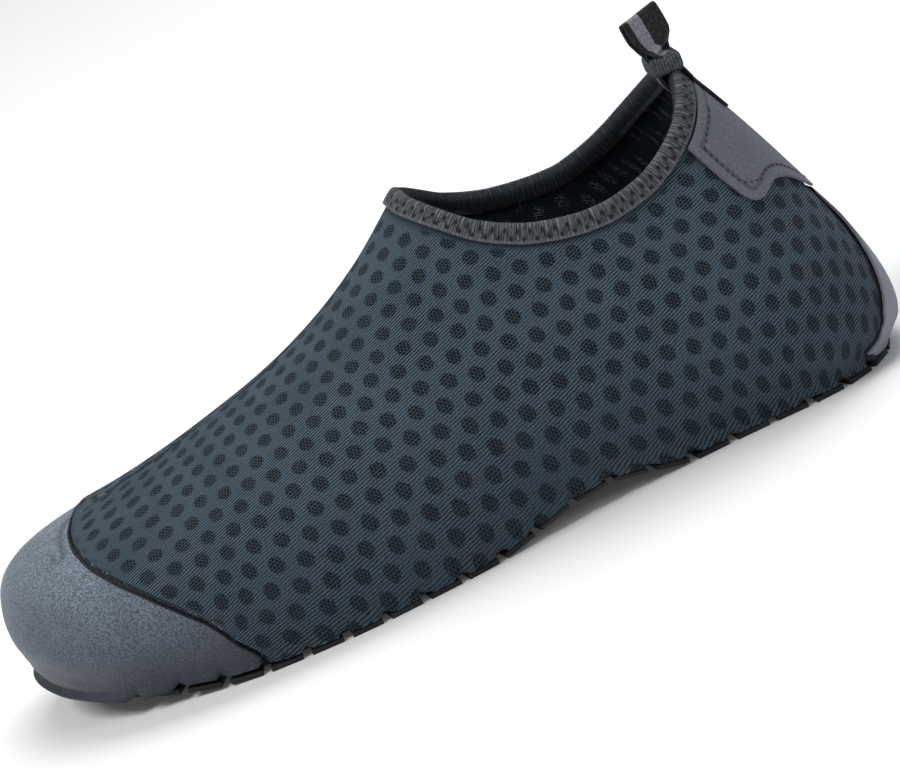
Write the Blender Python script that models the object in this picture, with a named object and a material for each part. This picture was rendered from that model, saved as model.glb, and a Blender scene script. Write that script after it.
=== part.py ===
"""A slip-on water shoe for a left foot, standing empty and unbent on its sole.

Lengths are in metres. The toe points to -X, the foot's outer side is at -Y and the floor is at Z = 0. Until the last
step, points are (along, across, up): the way from the heel's bulge to the toe, the way to the inner side, the height.
"""

import math

import bmesh
import bpy
import numpy as np
from mathutils import Vector
from mathutils.bvhtree import BVHTree

# The last, from which every piece is worked out
LENGTH = 0.270
BALL_WIDTH = 0.098
HEEL_WIDTH = 0.066
INSTEP_HEIGHT = 0.1014
HEEL_HEIGHT = 0.1005
TOE_SPRING = 0.0130
ARCH_RISE = 0.0060
TOE_SWING = 0.004

# The collar's oval, seen from above
COLLAR_BACK = 0.0335
COLLAR_LENGTH = 0.0870
COLLAR_WIDTH = 0.0575

# The upper's wall and how it is turned under at the sole
WALL = 0.0022
FEATHER_INSET = 0.0035
TURN_RADIUS = 0.0030
MARGIN_WIDTH = 0.010
BULGE = 0.0125
GAP = 0.0003

# The sole and the sock sheet on it
LUG_HEIGHT = 0.0010
PLATE_THICKNESS = 0.0007
ARCH_THINNING = 0.0004
TOE_LIP = 0.0015
PLATE_INSET = 0.0045
LUG_LENGTH = 0.0098
LUG_SPACE = 0.0028
LUG_DEPTH = 0.0120
LUG_WIDTH = 0.0200
TOE_BAND_LENGTH = 0.0430
INSOLE_THICKNESS = 0.0030
INSOLE_CLEARANCE = 0.0015
INSOLE_TOE = (0.72, 0.78)

# The panels and trims on the upper
CAP_THICKNESS = 0.0010
CAP_DROP = 0.0009
CAP_BACKING = 0.0012
CAP_SEAM = 0.0008
PANEL_THICKNESS = 0.0008
PANEL_GAP = 0.0007
PATCH_HALF_WIDTH = 0.0335
PATCH_CENTRE_DEPTH = 0.056
PATCH_SIDE_DEPTH = 0.034
PATCH_LOBE = 0.7
PATCH_ROUNDING = 9
PATCH_END_SHARE = 0.45
STRIP_TOP_HALF_WIDTH = 0.0070
STRIP_BASE_HALF_WIDTH = 0.0140
STRIP_FOOT_ROWS = 0.2
STRIP_HEAD_ROWS = 0.15
BINDING_THICKNESS = 0.0008
BINDING_WIDTH = 0.0050
BINDING_CLEARANCE = 0.0006
BINDING_GAP = 0.0006
RIBBON_WIDTH = 0.0105
RIBBON_THICKNESS = 0.0008
LOOP_RISE = 0.0160
LOOP_TWIST = math.radians(63)
LOOP_LEAN = math.radians(-8)
TAIL_LENGTH = 0.0190
LOOP_HOLD = 0.0090
LOOP_STANDOFF = 0.0010
LOOP_FOOT = 0.12
LOOP_TWIST_SHARE = 0.5
LOOP_CLOSE_SHARE = 0.4
TAIL_SECTIONS = 6
LEG_SECTIONS = 7

OUTER = -1
INNER = 1

# Outline of the last from above: how far each side stands out, as shares of the width there
OUTLINE = (
    # along, outer, inner
    (0.00, 0.500, 0.500),
    (0.15, 0.500, 0.500),
    (0.30, 0.500, 0.465),
    (0.45, 0.465, 0.400),
    (0.58, 0.475, 0.410),
    (0.68, 0.500, 0.470),
    (0.76, 0.490, 0.495),
    (0.86, 0.440, 0.475),
    (1.00, 0.380, 0.420),
)
WAIST = (0.20, 0.62)
HEEL_ROUND = 0.135
HEEL_POWER = 2.1
TOE_ROUND = 0.200
TOE_POWER = 2.25

# Underside of the sole from the side: shares of the arch's rise and of the toe's spring
UNDERSIDE = (
    # along, arch, spring
    (0.00, 0.05, 0.00),
    (0.05, 0.00, 0.00),
    (0.26, 0.00, 0.00),
    (0.38, 1.00, 0.00),
    (0.53, 0.00, 0.00),
    (0.78, 0.00, 0.00),
    (0.87, 0.00, 0.20),
    (0.92, 0.00, 0.45),
    (0.96, 0.00, 0.76),
    (1.00, 0.00, 1.15),
)

# Edge of the collar by the angle round its oval from the back: heights as shares of a height that goes from the
# heel's to the instep's
RIM = (
    # angle, outer, inner
    (0, 1.000, 1.000),
    (15, 0.975, 0.990),
    (30, 0.910, 0.950),
    (45, 0.860, 0.900),
    (65, 0.805, 0.830),
    (85, 0.785, 0.790),
    (105, 0.805, 0.805),
    (130, 0.870, 0.865),
    (152, 0.950, 0.945),
    (180, 1.000, 1.000),
)
RIM_POWER = 0.80

# Ridge of the instep and toe from the side: shares of the way from the collar to the toe, heights as shares of the
# instep's height
RIDGE = (
    # along, height
    (0.000, 1.000),
    (0.043, 0.948),
    (0.120, 0.859),
    (0.234, 0.757),
    (0.373, 0.671),
    (0.507, 0.614),
    (0.639, 0.566),
    (0.769, 0.533),
    (0.864, 0.518),
    (0.904, 0.508),
)

# Ribs from the sole's edge to the collar or ridge. The foot is a share of the outline's way from heel to toe, the
# head runs from 0 to 1 round the collar and from 1 to 2 along the ridge, turn and dip are the head's directions in
# degrees, reach and rise are shares of the rib's chord, and bulge and sweep, out and to the toe, of the full bulge.
RIBS = (
    # rib, foot, head, turn, dip, reach, rise, bulge, sweep
    (0.00, 0.000, 0.000, -90, 58, 0.21, 0.00, 1.62, 0.0),
    (0.10, 0.085, 0.190, -62, 63, 0.25, 0.08, 1.38, 0.0),
    (0.22, 0.200, 0.450, -15, 76, 0.33, 0.28, 1.00, 0.0),
    (0.33, 0.310, 0.730, 10, 66, 0.32, 0.30, 0.90, 0.0),
    (0.39, 0.362, 0.870, 26, 40, 0.32, 0.30, 0.88, 0.0),
    (0.44, 0.405, 1.000, 42, 0, 0.34, 0.30, 0.88, 0.0),
    (0.56, 0.500, 1.280, 14, 0, 0.35, 0.34, 0.95, 0.0),
    (0.70, 0.605, 1.570, 4, 0, 0.35, 0.38, 1.00, 0.2),
    (0.86, 0.725, 1.890, 10, 0, 0.40, 0.36, 1.00, 1.7),
    (1.00, 1.000, 2.000, 90, 0, 0.42, 0.36, 0.90, 0.0),
)
CORNER_RIB = 0.44
SEAM_RIB = 0.86
RIBS_TO_CORNER = 18
RIBS_TO_SEAM = 15
RIBS_TO_TIP = 9
BEZIER_STEPS = 9
TURN_STEPS = 3
OUTLINE_SAMPLES = 400
SOLE_STATIONS = 30
SOLE_COLUMNS = 2
BAND_STATIONS = 20
PANEL_STEPS = 10
BINDING_SECTIONS = 2


def through(rows, column, x):
    """Reads one column of a table at x, along a smooth curve that never swings past its rows."""
    table = np.array(rows, dtype=float)
    xs, ys = table[:, 0], table[:, column]
    widths = np.diff(xs)
    slopes = np.diff(ys) / widths
    tangents = np.zeros_like(ys)
    tangents[0], tangents[-1] = slopes[0], slopes[-1]
    for i in range(1, len(xs) - 1):
        if slopes[i - 1] * slopes[i] > 0:
            before = 2 * widths[i] + widths[i - 1]
            after = widths[i] + 2 * widths[i - 1]
            tangents[i] = (before + after) / (before / slopes[i - 1] + after / slopes[i])
    x = np.clip(np.asarray(x, dtype=float), xs[0], xs[-1])
    i = np.clip(np.searchsorted(xs, x) - 1, 0, len(xs) - 2)
    h = widths[i]
    s = (x - xs[i]) / h
    value = ys[i] * (1 + 2 * s) * (1 - s) ** 2 + ys[i + 1] * s * s * (3 - 2 * s)
    return value + tangents[i] * h * s * (1 - s) ** 2 - tangents[i + 1] * h * s * s * (1 - s)


def ease(x):
    """Goes from 0 to 1 with level ends."""
    x = np.clip(x, 0, 1)
    return x * x * (3 - 2 * x)


def unit(vector):
    return vector / np.linalg.norm(vector)


def centre_line(along):
    """Where the last's middle lies across, as it swings in to the big toe."""
    return TOE_SWING * ease((along / LENGTH - 0.5) / 0.5)


def half_width(along, side):
    """How far one side of the last stands out from its middle."""
    share = along / LENGTH
    width = HEEL_WIDTH + (BALL_WIDTH - HEEL_WIDTH) * ease((share - WAIST[0]) / (WAIST[1] - WAIST[0]))
    heel = 1 - np.clip(1 - share / HEEL_ROUND, 0, 1) ** HEEL_POWER
    toe = 1 - np.clip(1 - (1 - share) / TOE_ROUND, 0, 1) ** TOE_POWER
    ends = heel ** (1 / HEEL_POWER) * toe ** (1 / TOE_POWER)
    return width * through(OUTLINE, 1 if side == OUTER else 2, share) * ends


def underside(along):
    """Height of the lugs' lower faces."""
    share = along / LENGTH
    return ARCH_RISE * through(UNDERSIDE, 1, share) + TOE_SPRING * through(UNDERSIDE, 2, share)


def sole_top(along):
    """Height of the plate's upper face: the lugs are lower under the arch."""
    thinning = ARCH_THINNING * through(UNDERSIDE, 1, along / LENGTH)
    return underside(along) + LUG_HEIGHT + PLATE_THICKNESS - thinning


def by_length(points, shares):
    """Reads a row of points at shares of its own length."""
    way = np.concatenate([[0], np.cumsum(np.linalg.norm(np.diff(points, axis=0), axis=1))])
    targets = np.asarray(shares, dtype=float) * way[-1]
    return np.stack([np.interp(targets, way, column) for column in points.T], -1)


def outline(side):
    """Dense outline of one side from above, from the heel's middle to the toe's."""
    along = LENGTH * (1 - np.cos(np.linspace(0, math.pi, OUTLINE_SAMPLES))) / 2
    return np.stack([along, centre_line(along) + side * half_width(along, side)], -1)


OUTLINES = {OUTER: outline(OUTER), INNER: outline(INNER)}


def outline_at(side, shares, inset):
    """Points of the outline at shares of its way, moved in by an inset, and the directions that point out of it."""
    line = OUTLINES[side]
    step = 1 / OUTLINE_SAMPLES
    shares = np.asarray(shares, dtype=float)
    ahead = by_length(line, np.clip(shares + step, 0, 1)) - by_length(line, np.clip(shares - step, 0, 1))
    out = side * np.stack([-ahead[:, 1], ahead[:, 0]], -1)
    out /= np.linalg.norm(out, axis=1)[:, None]
    out[shares <= 0] = (-1, 0)
    out[shares >= 1] = (1, 0)
    return by_length(line, shares) - out * inset, out


def rim(side, share):
    """A point of the collar's edge at a share of its way from the back to the front."""
    angle = np.linspace(0, math.pi, OUTLINE_SAMPLES)
    along = COLLAR_BACK + COLLAR_LENGTH * (1 - np.cos(angle)) / 2
    across = side * COLLAR_WIDTH / 2 * np.sin(angle) ** RIM_POWER
    full = HEEL_HEIGHT + (INSTEP_HEIGHT - HEEL_HEIGHT) * ease(angle / math.pi)
    up = full * through(RIM, 1 if side == OUTER else 2, np.degrees(angle))
    return by_length(np.stack([along, across, up], -1), [share])[0]


def ridge(share):
    """A point of the ridge at a share of its way from the collar to the toe."""
    shares = np.linspace(RIDGE[0][0], RIDGE[-1][0], OUTLINE_SAMPLES)
    collar_front = COLLAR_BACK + COLLAR_LENGTH
    along = collar_front + (LENGTH - collar_front) * shares
    up = INSTEP_HEIGHT * through(RIDGE, 1, shares)
    return by_length(np.stack([along, centre_line(along), up], -1), [share])[0]


def forward_at(head):
    """The way to the toe at a rib's head: level at the collar, and down the ridge in front of it."""
    place = max(head - 1, 0)
    step = 1 / OUTLINE_SAMPLES
    ahead = unit(ridge(min(place + step, 1)) - ridge(max(place - step, 0)))
    return unit(ahead * np.array([1, 1, ease((head - 0.8) / 0.2)]))


def rib(side, place):
    """Points of one rib of the upper's outer face, from the margin under the foot to the collar or the ridge."""
    foot, head, turn, dip, reach, rise, bulge, sweep = (float(through(RIBS, i, place)) for i in range(1, 9))
    plan, out = outline_at(side, [foot], FEATHER_INSET)
    outward = np.array([*out[0], 0])
    upward = np.array([0, 0, 1.0])
    edge = np.array([*plan[0], sole_top(plan[0][0]) + GAP])
    top = rim(side, head) if head < 1 else ridge(head - 1)
    turn, dip = math.radians(turn), math.radians(dip)
    heading = math.cos(turn) * np.array([0, side, 0]) + math.sin(turn) * forward_at(head)
    heading = unit(math.cos(dip) * heading - math.sin(dip) * upward)
    start = edge + upward * TURN_RADIUS
    chord = np.linalg.norm(top - start)
    first = start + (outward * bulge + np.array([sweep, 0, 0])) * BULGE + upward * chord * rise
    second = top + heading * chord * reach
    turned = [(MARGIN_WIDTH, 0)]
    for angle in np.linspace(0, math.pi / 2, TURN_STEPS + 1)[:-1]:
        turned.append((TURN_RADIUS * (1 - math.sin(angle)), TURN_RADIUS * (1 - math.cos(angle))))
    points = []
    for inward, height in turned:
        place = edge - outward * inward
        points.append(np.array([place[0], place[1], sole_top(place[0]) + GAP + height]))
    for s in np.linspace(0, 1, BEZIER_STEPS + 1):
        weights = (1 - s) ** 3, 3 * (1 - s) ** 2 * s, 3 * (1 - s) * s * s, s ** 3
        points.append(sum(weight * point for weight, point in zip(weights, (start, first, second, top))))
    return np.array(points)


class Skin:
    """The upper's outer face as a ring of ribs, from the heel round the outer side, the toe and the inner side."""

    def __init__(self):
        seam = CAP_SEAM / LENGTH
        to_corner = np.linspace(0, CORNER_RIB, RIBS_TO_CORNER + 1)
        to_seam = np.linspace(CORNER_RIB, SEAM_RIB, RIBS_TO_SEAM + 1)[1:]
        to_tip = np.linspace(SEAM_RIB + 2 * seam, 1, RIBS_TO_TIP + 1)
        places = np.concatenate([to_corner, to_seam, [SEAM_RIB + seam], to_tip])
        self.corner = RIBS_TO_CORNER
        self.seam = RIBS_TO_CORNER + RIBS_TO_SEAM
        outer = [rib(OUTER, place) for place in places]
        inner = [rib(INNER, place) for place in places]
        self.points = np.array(outer + inner[-2:0:-1])
        self.count, self.height = self.points.shape[:2]
        self.flat = self.points.reshape(-1, 3)
        self.normals = self.find_normals()
        self.tree = BVHTree.FromPolygons([Vector(p) for p in self.flat], self.faces(0, self.count, 0))

    def vertex(self, k, j):
        """A number for each point, the same for both ribs that meet at one point of the ridge."""
        k = k % self.count
        if j == self.height - 1 and self.corner <= k <= self.count - self.corner:
            k = min(k, self.count - k)
        return k * self.height + j

    def faces(self, start, end, low):
        """Triangles between ribs start and end above row low, split along each cell's shorter diagonal."""
        found = []
        for k in range(start, end):
            for j in range(low, self.height - 1):
                a, b = self.vertex(k, j), self.vertex(k + 1, j)
                c, d = self.vertex(k + 1, j + 1), self.vertex(k, j + 1)
                if np.linalg.norm(self.flat[a] - self.flat[c]) < np.linalg.norm(self.flat[b] - self.flat[d]):
                    found += [(a, b, c), (a, c, d)]
                else:
                    found += [(a, b, d), (b, c, d)]
        return found

    def find_normals(self):
        """Outward directions at all points, from the triangles round each."""
        normals = np.zeros_like(self.flat)
        for face in self.faces(0, self.count, 0):
            a, b, c = (self.flat[i] for i in face)
            for i in face:
                normals[i] += np.cross(b - a, c - a)
        for k in range(self.count):
            normals[k * self.height + self.height - 1] = normals[self.vertex(k, self.height - 1)]
        normals /= np.linalg.norm(normals, axis=1)[:, None]
        normals = normals.reshape(self.points.shape)
        return normals * -np.sign(normals[0, self.height // 2, 0])

    def at(self, k, j, lift):
        """A point between ribs and rows, lifted off the outer face."""
        k0, j0 = math.floor(k), min(math.floor(j), self.height - 2)
        place, way = np.zeros(3), np.zeros(3)
        for near, weight in ((k0, 1 - k + k0), (k0 + 1, k - k0)):
            for row, share in ((j0, 1 - j + j0), (j0 + 1, j - j0)):
                place += weight * share * self.points[near % self.count, row]
                way += weight * share * self.normals[near % self.count, row]
        return place + unit(way) * lift

    def nearest(self, point, lift):
        """The outer face's nearest point to a free point, lifted off it."""
        place, way, _, _ = self.tree.find_nearest(Vector(point))
        way = np.array(way)
        return np.array(place) + way * lift * np.sign(way @ self.normal_near(place))

    def normal_near(self, point):
        nearest = np.argmin(np.linalg.norm(self.flat - np.array(point), axis=1))
        return self.normals.reshape(-1, 3)[nearest]

    def row_below(self, k, depth):
        """The row, with its part, that lies a given way below the head of a rib, or between two ribs."""

        def on_rib(number):
            steps = np.linalg.norm(np.diff(self.points[number % self.count], axis=0), axis=1)[::-1]
            way = np.concatenate([[0], np.cumsum(steps)])
            return self.height - 1 - float(np.interp(depth, way, np.arange(len(way))))

        before = math.floor(k)
        return on_rib(before) + (on_rib(before + 1) - on_rib(before)) * (k - before)

    def below_binding(self, k):
        """The row, with its part, that lies just clear of the binding's lower edge on rib k."""
        top = self.height - 1
        head = self.at(k, top, 0)
        tangent = unit(self.at(k + 1, top, 0) - self.at(k - 1, top, 0))
        slant = np.linalg.norm(np.cross(tangent, unit(head - self.at(k, top - 2, 0))))
        return self.row_below(k, (BINDING_WIDTH + BINDING_CLEARANCE) / slant)

    def rib_beside(self, width, j):
        """The rib, with its part, that lies a given way round from the heel's middle at row j."""
        row = np.array([self.at(k, j, 0) for k in range(self.corner + 1)])
        way = np.concatenate([[0], np.cumsum(np.linalg.norm(np.diff(row, axis=0), axis=1))])
        return float(np.interp(width, way, np.arange(len(way))))


def add_piece(name, vertices, faces, colour, roughness):
    """Makes one named piece with its own material, its faces turned out, in the shoe's world directions."""
    used = sorted({i for face in faces for i in face})
    numbers = {old: new for new, old in enumerate(used)}
    mesh = bpy.data.meshes.new(name)
    places = [(-vertices[i][0], vertices[i][1], vertices[i][2]) for i in used]
    mesh.from_pydata(places, [], [[numbers[i] for i in face] for face in faces])
    work = bmesh.new()
    work.from_mesh(mesh)
    bmesh.ops.recalc_face_normals(work, faces=work.faces)
    work.to_mesh(mesh)
    work.free()
    mesh.shade_smooth()
    mesh.set_sharp_from_angle(angle=math.radians(35))
    piece = bpy.data.objects.new(name, mesh)
    bpy.context.collection.objects.link(piece)
    material = bpy.data.materials.new(name)
    material.use_nodes = True
    shader = material.node_tree.nodes["Principled BSDF"]
    shader.inputs["Base Color"].default_value = (*colour, 1)
    shader.inputs["Roughness"].default_value = roughness
    shader.inputs["Metallic"].default_value = 0
    mesh.materials.append(material)
    return piece


def thicken(outer, inner, faces):
    """Closes two like sheets of points into one solid, with a wall along every free edge."""
    count = len(outer)
    edges = {}
    for face in faces:
        for a, b in zip(face, face[1:] + face[:1]):
            edges[(a, b)] = True
    walls = []
    for a, b in edges:
        if (b, a) not in edges:
            walls += [(b, a, a + count), (b, a + count, b + count)]
    back = [tuple(i + count for i in reversed(face)) for face in faces]
    return list(outer) + list(inner), list(faces) + back + walls


def grid_faces(rows, columns):
    """Triangles of a sheet of points laid out in rows."""
    found = []
    for i in range(rows - 1):
        for j in range(columns - 1):
            a = i * columns + j
            b, c, d = a + 1, a + columns + 1, a + columns
            found += [(a, b, c), (a, c, d)]
    return found


def loft(sections, closed):
    """Joins like outlines into one solid: a closed ring, or a bar with flat ends."""
    size = len(sections[0])
    vertices = [point for section in sections for point in section]
    faces = []
    for i in range(len(sections) if closed else len(sections) - 1):
        near, far = i * size, (i + 1) % len(sections) * size
        for j in range(size):
            after = (j + 1) % size
            faces += [(near + j, near + after, far + after), (near + j, far + after, far + j)]
    if not closed:
        faces += [tuple(reversed(range(size))), tuple(range(len(vertices) - size, len(vertices)))]
    return vertices, faces


def upper(skin):
    """The hollow body, with a step in its wall all round the toe where the cap lies."""
    recess = CAP_DROP + CAP_THICKNESS + GAP
    outer, inner = [], []
    for k in range(skin.count):
        beyond = min(k, skin.count - k)
        for j in range(skin.height):
            sunk = beyond > skin.seam and j > 1
            thick = beyond >= skin.seam and j > 1
            outer.append(skin.points[k, j] - skin.normals[k, j] * (recess if sunk else 0))
            inner.append(skin.points[k, j] - skin.normals[k, j] * (recess + CAP_BACKING if thick else WALL))
    vertices, faces = thicken(outer, inner, skin.faces(0, skin.count, 0))
    return add_piece("upper", vertices, faces, (0.050, 0.064, 0.080), 0.9)


def toe_cap(skin):
    """The napped panel in the step round the toe, a little lower than the mesh behind it."""
    flat = skin.points.reshape(-1, 3)
    normals = skin.normals.reshape(-1, 3)
    start, low = skin.seam + 2, 2
    faces = skin.faces(start, skin.count - start, low)
    vertices, faces = thicken(flat - normals * CAP_DROP, flat - normals * (CAP_DROP + CAP_THICKNESS), faces)
    return add_piece("toe_cap", vertices, faces, (0.170, 0.190, 0.215), 0.95)


def panel(name, skin, places, columns, colour):
    """A panel laid on the upper, from its places as ribs and rows."""
    outer = [skin.at(k, j, PANEL_GAP + PANEL_THICKNESS) for k, j in places]
    inner = [skin.at(k, j, PANEL_GAP) for k, j in places]
    vertices, faces = thicken(outer, inner, grid_faces(len(places) // columns, columns))
    return add_piece(name, vertices, faces, colour, 0.85)


def patch_bottom(skin, share):
    """Row of the patch's lower edge, at a share of its half width from the heel's middle."""
    depth = PATCH_CENTRE_DEPTH + (PATCH_SIDE_DEPTH - PATCH_CENTRE_DEPTH) * ease(abs(share) / PATCH_LOBE)
    rounding = (1 - abs(share) ** PATCH_ROUNDING) ** (1 / 4)
    k = skin.rib_beside(abs(share) * PATCH_HALF_WIDTH, skin.height - 4)
    high, low = skin.below_binding(k), skin.row_below(k, depth)
    return high + (low - high) * (PATCH_END_SHARE + (1 - PATCH_END_SHARE) * rounding)


def heel_patch(skin):
    """The overlay below the collar at the back, with a rounded lobe on each side."""
    places = []
    for share in np.sin(np.linspace(-math.pi / 2, math.pi / 2, 2 * PANEL_STEPS + 1)):
        beside = skin.rib_beside(abs(share) * PATCH_HALF_WIDTH, skin.height - 4)
        rows = np.linspace(patch_bottom(skin, share), skin.below_binding(beside), PANEL_STEPS // 2 + 1)
        places += [(beside * np.sign(share), j) for j in rows]
    return panel("heel_patch", skin, places, PANEL_STEPS // 2 + 1, (0.130, 0.132, 0.155))


def heel_strip(skin):
    """The strip up the back seam, from the sole to the patch, wider at the sole."""
    low, high = TURN_STEPS - STRIP_FOOT_ROWS, patch_bottom(skin, 0) - STRIP_HEAD_ROWS
    places = []
    for j in np.linspace(low, high, PANEL_STEPS + 1):
        width = STRIP_BASE_HALF_WIDTH + (STRIP_TOP_HALF_WIDTH - STRIP_BASE_HALF_WIDTH) * (j - low) / (high - low)
        edge = skin.rib_beside(width, j)
        places += [(k, j) for k in np.linspace(-edge, edge, PANEL_STEPS + 1)]
    return panel("heel_strip", skin, places, PANEL_STEPS + 1, (0.130, 0.132, 0.155))


def collar_binding(skin):
    """The elastic folded over the collar's edge."""
    top = skin.height - 1
    places = np.arange(-skin.corner, skin.corner, 1 / BINDING_SECTIONS)
    ring = [skin.at(k, top, 0) for k in places]
    near, far = BINDING_GAP, BINDING_GAP + BINDING_THICKNESS
    sections = []
    for i, (k, head) in enumerate(zip(places, ring)):
        normal = skin.at(k, top, 1) - head
        tangent = unit(ring[(i + 1) % len(ring)] - ring[i - 1])
        up = unit(np.cross(tangent, normal))
        up *= np.sign(up[2])
        low = head - up * BINDING_WIDTH
        outside = [skin.nearest(low, near), skin.nearest(low, far), head + normal * far]
        fold = [head + normal * (far - WALL) / 2 + up * far]
        inside = [head - normal * (WALL + far), skin.nearest(low, -WALL - far), skin.nearest(low, -WALL - near)]
        under = [head - normal * (WALL + near) + up * near, head + normal * near + up * near]
        sections.append(outside + fold + inside + under)
    vertices, faces = loft(sections, True)
    return add_piece("collar_binding", vertices, faces, (0.155, 0.150, 0.158), 0.95)


def pull_loop(skin):
    """The ribbon loop: flat on the heel's back, up over the collar, turned to the side, and down inside."""
    top = skin.height - 1
    head, normal = skin.points[0, top], skin.normals[0, top]
    lift = PANEL_GAP + PANEL_THICKNESS + GAP + RIBBON_THICKNESS / 2
    across = np.array([0, -1.0, 0])
    path = []
    for depth in np.linspace(TAIL_LENGTH, 0, TAIL_SECTIONS):
        place = skin.at(0, skin.row_below(0, depth), lift)
        path.append((place, across, unit(skin.at(0, skin.row_below(0, depth), lift + 1) - place)))
    axis = np.array([-math.sin(LOOP_LEAN), 0, math.cos(LOOP_LEAN)])
    back = unit(np.cross(axis, across))
    back *= np.sign(back @ normal)
    base = head - normal * WALL / 2
    spread = lift + WALL / 2 + LOOP_STANDOFF / 2
    near = RIBBON_THICKNESS
    legs = []
    for rise in np.linspace(LOOP_FOOT, 1, LEG_SECTIONS):
        twist = LOOP_TWIST * ease((rise - LOOP_FOOT) / LOOP_TWIST_SHARE)
        width = across * math.cos(twist) - back * math.sin(twist)
        face = back * math.cos(twist) + across * math.sin(twist)
        half = near + (spread - near) * (1 - ease((rise - LOOP_FOOT) / LOOP_CLOSE_SHARE))
        legs.append((base + axis * LOOP_RISE * rise, width, face, half))
    path += [(place + face * half, width, face) for place, width, face, half in legs]
    place, width, face, half = legs[-1]
    for angle in (45, 90, 135):
        turned = math.radians(angle)
        way = face * math.cos(turned) + axis * math.sin(turned)
        path.append((place + way * half, width, way))
    path += [(place - face * half, width, -face) for place, width, face, half in reversed(legs)]
    for depth in np.linspace(0, LOOP_HOLD, 3):
        j = skin.row_below(0, depth)
        inside = -WALL - lift - LOOP_STANDOFF
        place = skin.at(0, j, inside)
        path.append((place, across, unit(skin.at(0, j, inside - 1) - place)))
    sections = []
    for place, width, face in path:
        side, deep = width * RIBBON_WIDTH / 2, face * RIBBON_THICKNESS / 2
        sections.append([place - side - deep, place + side - deep, place + side + deep, place - side + deep])
    vertices, faces = loft(sections, False)
    return add_piece("pull_loop", vertices, faces, (0.200, 0.200, 0.235), 0.9)


def flat_sheet(inset, low, high):
    """A sheet inside the outline, moved in by an inset, between two heights that follow the way along."""
    shares = np.linspace(0, 1, SOLE_STATIONS + 1)
    insets = inset(shares)[:, None]
    rows = []
    outer, _ = outline_at(OUTER, shares, insets)
    inner, _ = outline_at(INNER, shares, insets)
    for a, b in zip(outer[1:-1], inner[1:-1]):
        rows.append([a + (b - a) * t for t in np.linspace(0, 1, SOLE_COLUMNS + 1)])
    plan = [point for row in rows for point in row] + [outer[0], outer[-1]]
    columns = SOLE_COLUMNS + 1
    heel, toe = len(plan) - 2, len(plan) - 1
    last = len(rows) * columns - columns
    faces = grid_faces(len(rows), columns)
    faces += [(heel, j + 1, j) for j in range(SOLE_COLUMNS)]
    faces += [(toe, last + j, last + j + 1) for j in range(SOLE_COLUMNS)]
    above = [np.array([*point, high(point[0])]) for point in plan]
    below = [np.array([*point, low(point[0])]) for point in plan]
    return thicken(above, below, faces)


def edge_block(stations):
    """A block along the sole's edge, through stations of a side and a share of its outline."""
    sections = []
    for side, share in stations:
        lip = TOE_LIP * ease((share - 1) * LENGTH / TOE_BAND_LENGTH + 1)
        rim_point, _ = outline_at(side, [share], FEATHER_INSET - lip)
        deep_point, _ = outline_at(side, [share], FEATHER_INSET + LUG_DEPTH)
        section = []
        for x, y in (rim_point[0], deep_point[0]):
            section += [np.array([x, y, underside(x)]), np.array([x, y, sole_top(x) - GAP])]
        sections.append([section[0], section[2], section[3], section[1]])
    return loft(sections, False)


def lugs():
    """Points and faces of all lugs: a row round the edge, a band round the toe, and rows across between them."""
    blocks, band = [], []
    pitch = LUG_LENGTH + LUG_SPACE
    for side in (OUTER, INNER):
        way = np.sum(np.linalg.norm(np.diff(OUTLINES[side], axis=0), axis=1))
        count = int((way - TOE_BAND_LENGTH - LUG_SPACE) // pitch)
        for i in range(count):
            start = 1 - (TOE_BAND_LENGTH + (i + 1) * pitch) / way
            shares = start, start + LUG_LENGTH / way
            blocks.append(edge_block([(side, share) for share in shares]))
        turns = np.linspace(1 - TOE_BAND_LENGTH / way, 1, BAND_STATIONS // 2 + 1)
        band += [(side, share) for share in (turns if side == OUTER else turns[-2::-1])]
    blocks.append(edge_block(band))
    edge = FEATHER_INSET + LUG_DEPTH + LUG_SPACE
    for start in np.arange(LUG_DEPTH + 2 * LUG_SPACE, LENGTH - 2 * LUG_DEPTH, pitch):
        ends = np.array([start, start + LUG_LENGTH])
        left = centre_line(ends) - half_width(ends, OUTER) + edge
        right = centre_line(ends) + half_width(ends, INNER) - edge
        low, high = left.max(), right.min()
        count = max(int(round((high - low + LUG_SPACE) / (LUG_WIDTH + LUG_SPACE))), 1)
        width = (high - low + LUG_SPACE) / count - LUG_SPACE
        if width < LUG_WIDTH / 3:
            continue
        for i in range(count):
            y = low + i * (width + LUG_SPACE)
            sections = []
            for x in ends:
                floor, roof = underside(x), sole_top(x) - GAP
                corners = (y, floor), (y + width, floor), (y + width, roof), (y, roof)
                sections.append([np.array([x, across, up]) for across, up in corners])
            blocks.append(loft(sections, False))
    vertices, faces = [], []
    for points, sides in blocks:
        faces += [tuple(i + len(vertices) for i in side) for side in sides]
        vertices += points
    return vertices, faces


def outsole():
    """The plate with its lugs, as one rubber solid."""
    inset = FEATHER_INSET + PLATE_INSET
    vertices, faces = flat_sheet(lambda s: inset + 0 * s, lambda x: sole_top(x) - PLATE_THICKNESS, sole_top)
    sole = add_piece("outsole", vertices, faces, (0.012, 0.012, 0.014), 0.6)
    block = add_piece("lug_blocks", *lugs(), (0.012, 0.012, 0.014), 0.6)
    block.hide_render = True
    block.display_type = "WIRE"
    union = sole.modifiers.new("lugs", "BOOLEAN")
    union.operation = "UNION"
    union.solver = "EXACT"
    union.use_self = True
    union.object = block
    return [sole, block]


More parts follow.
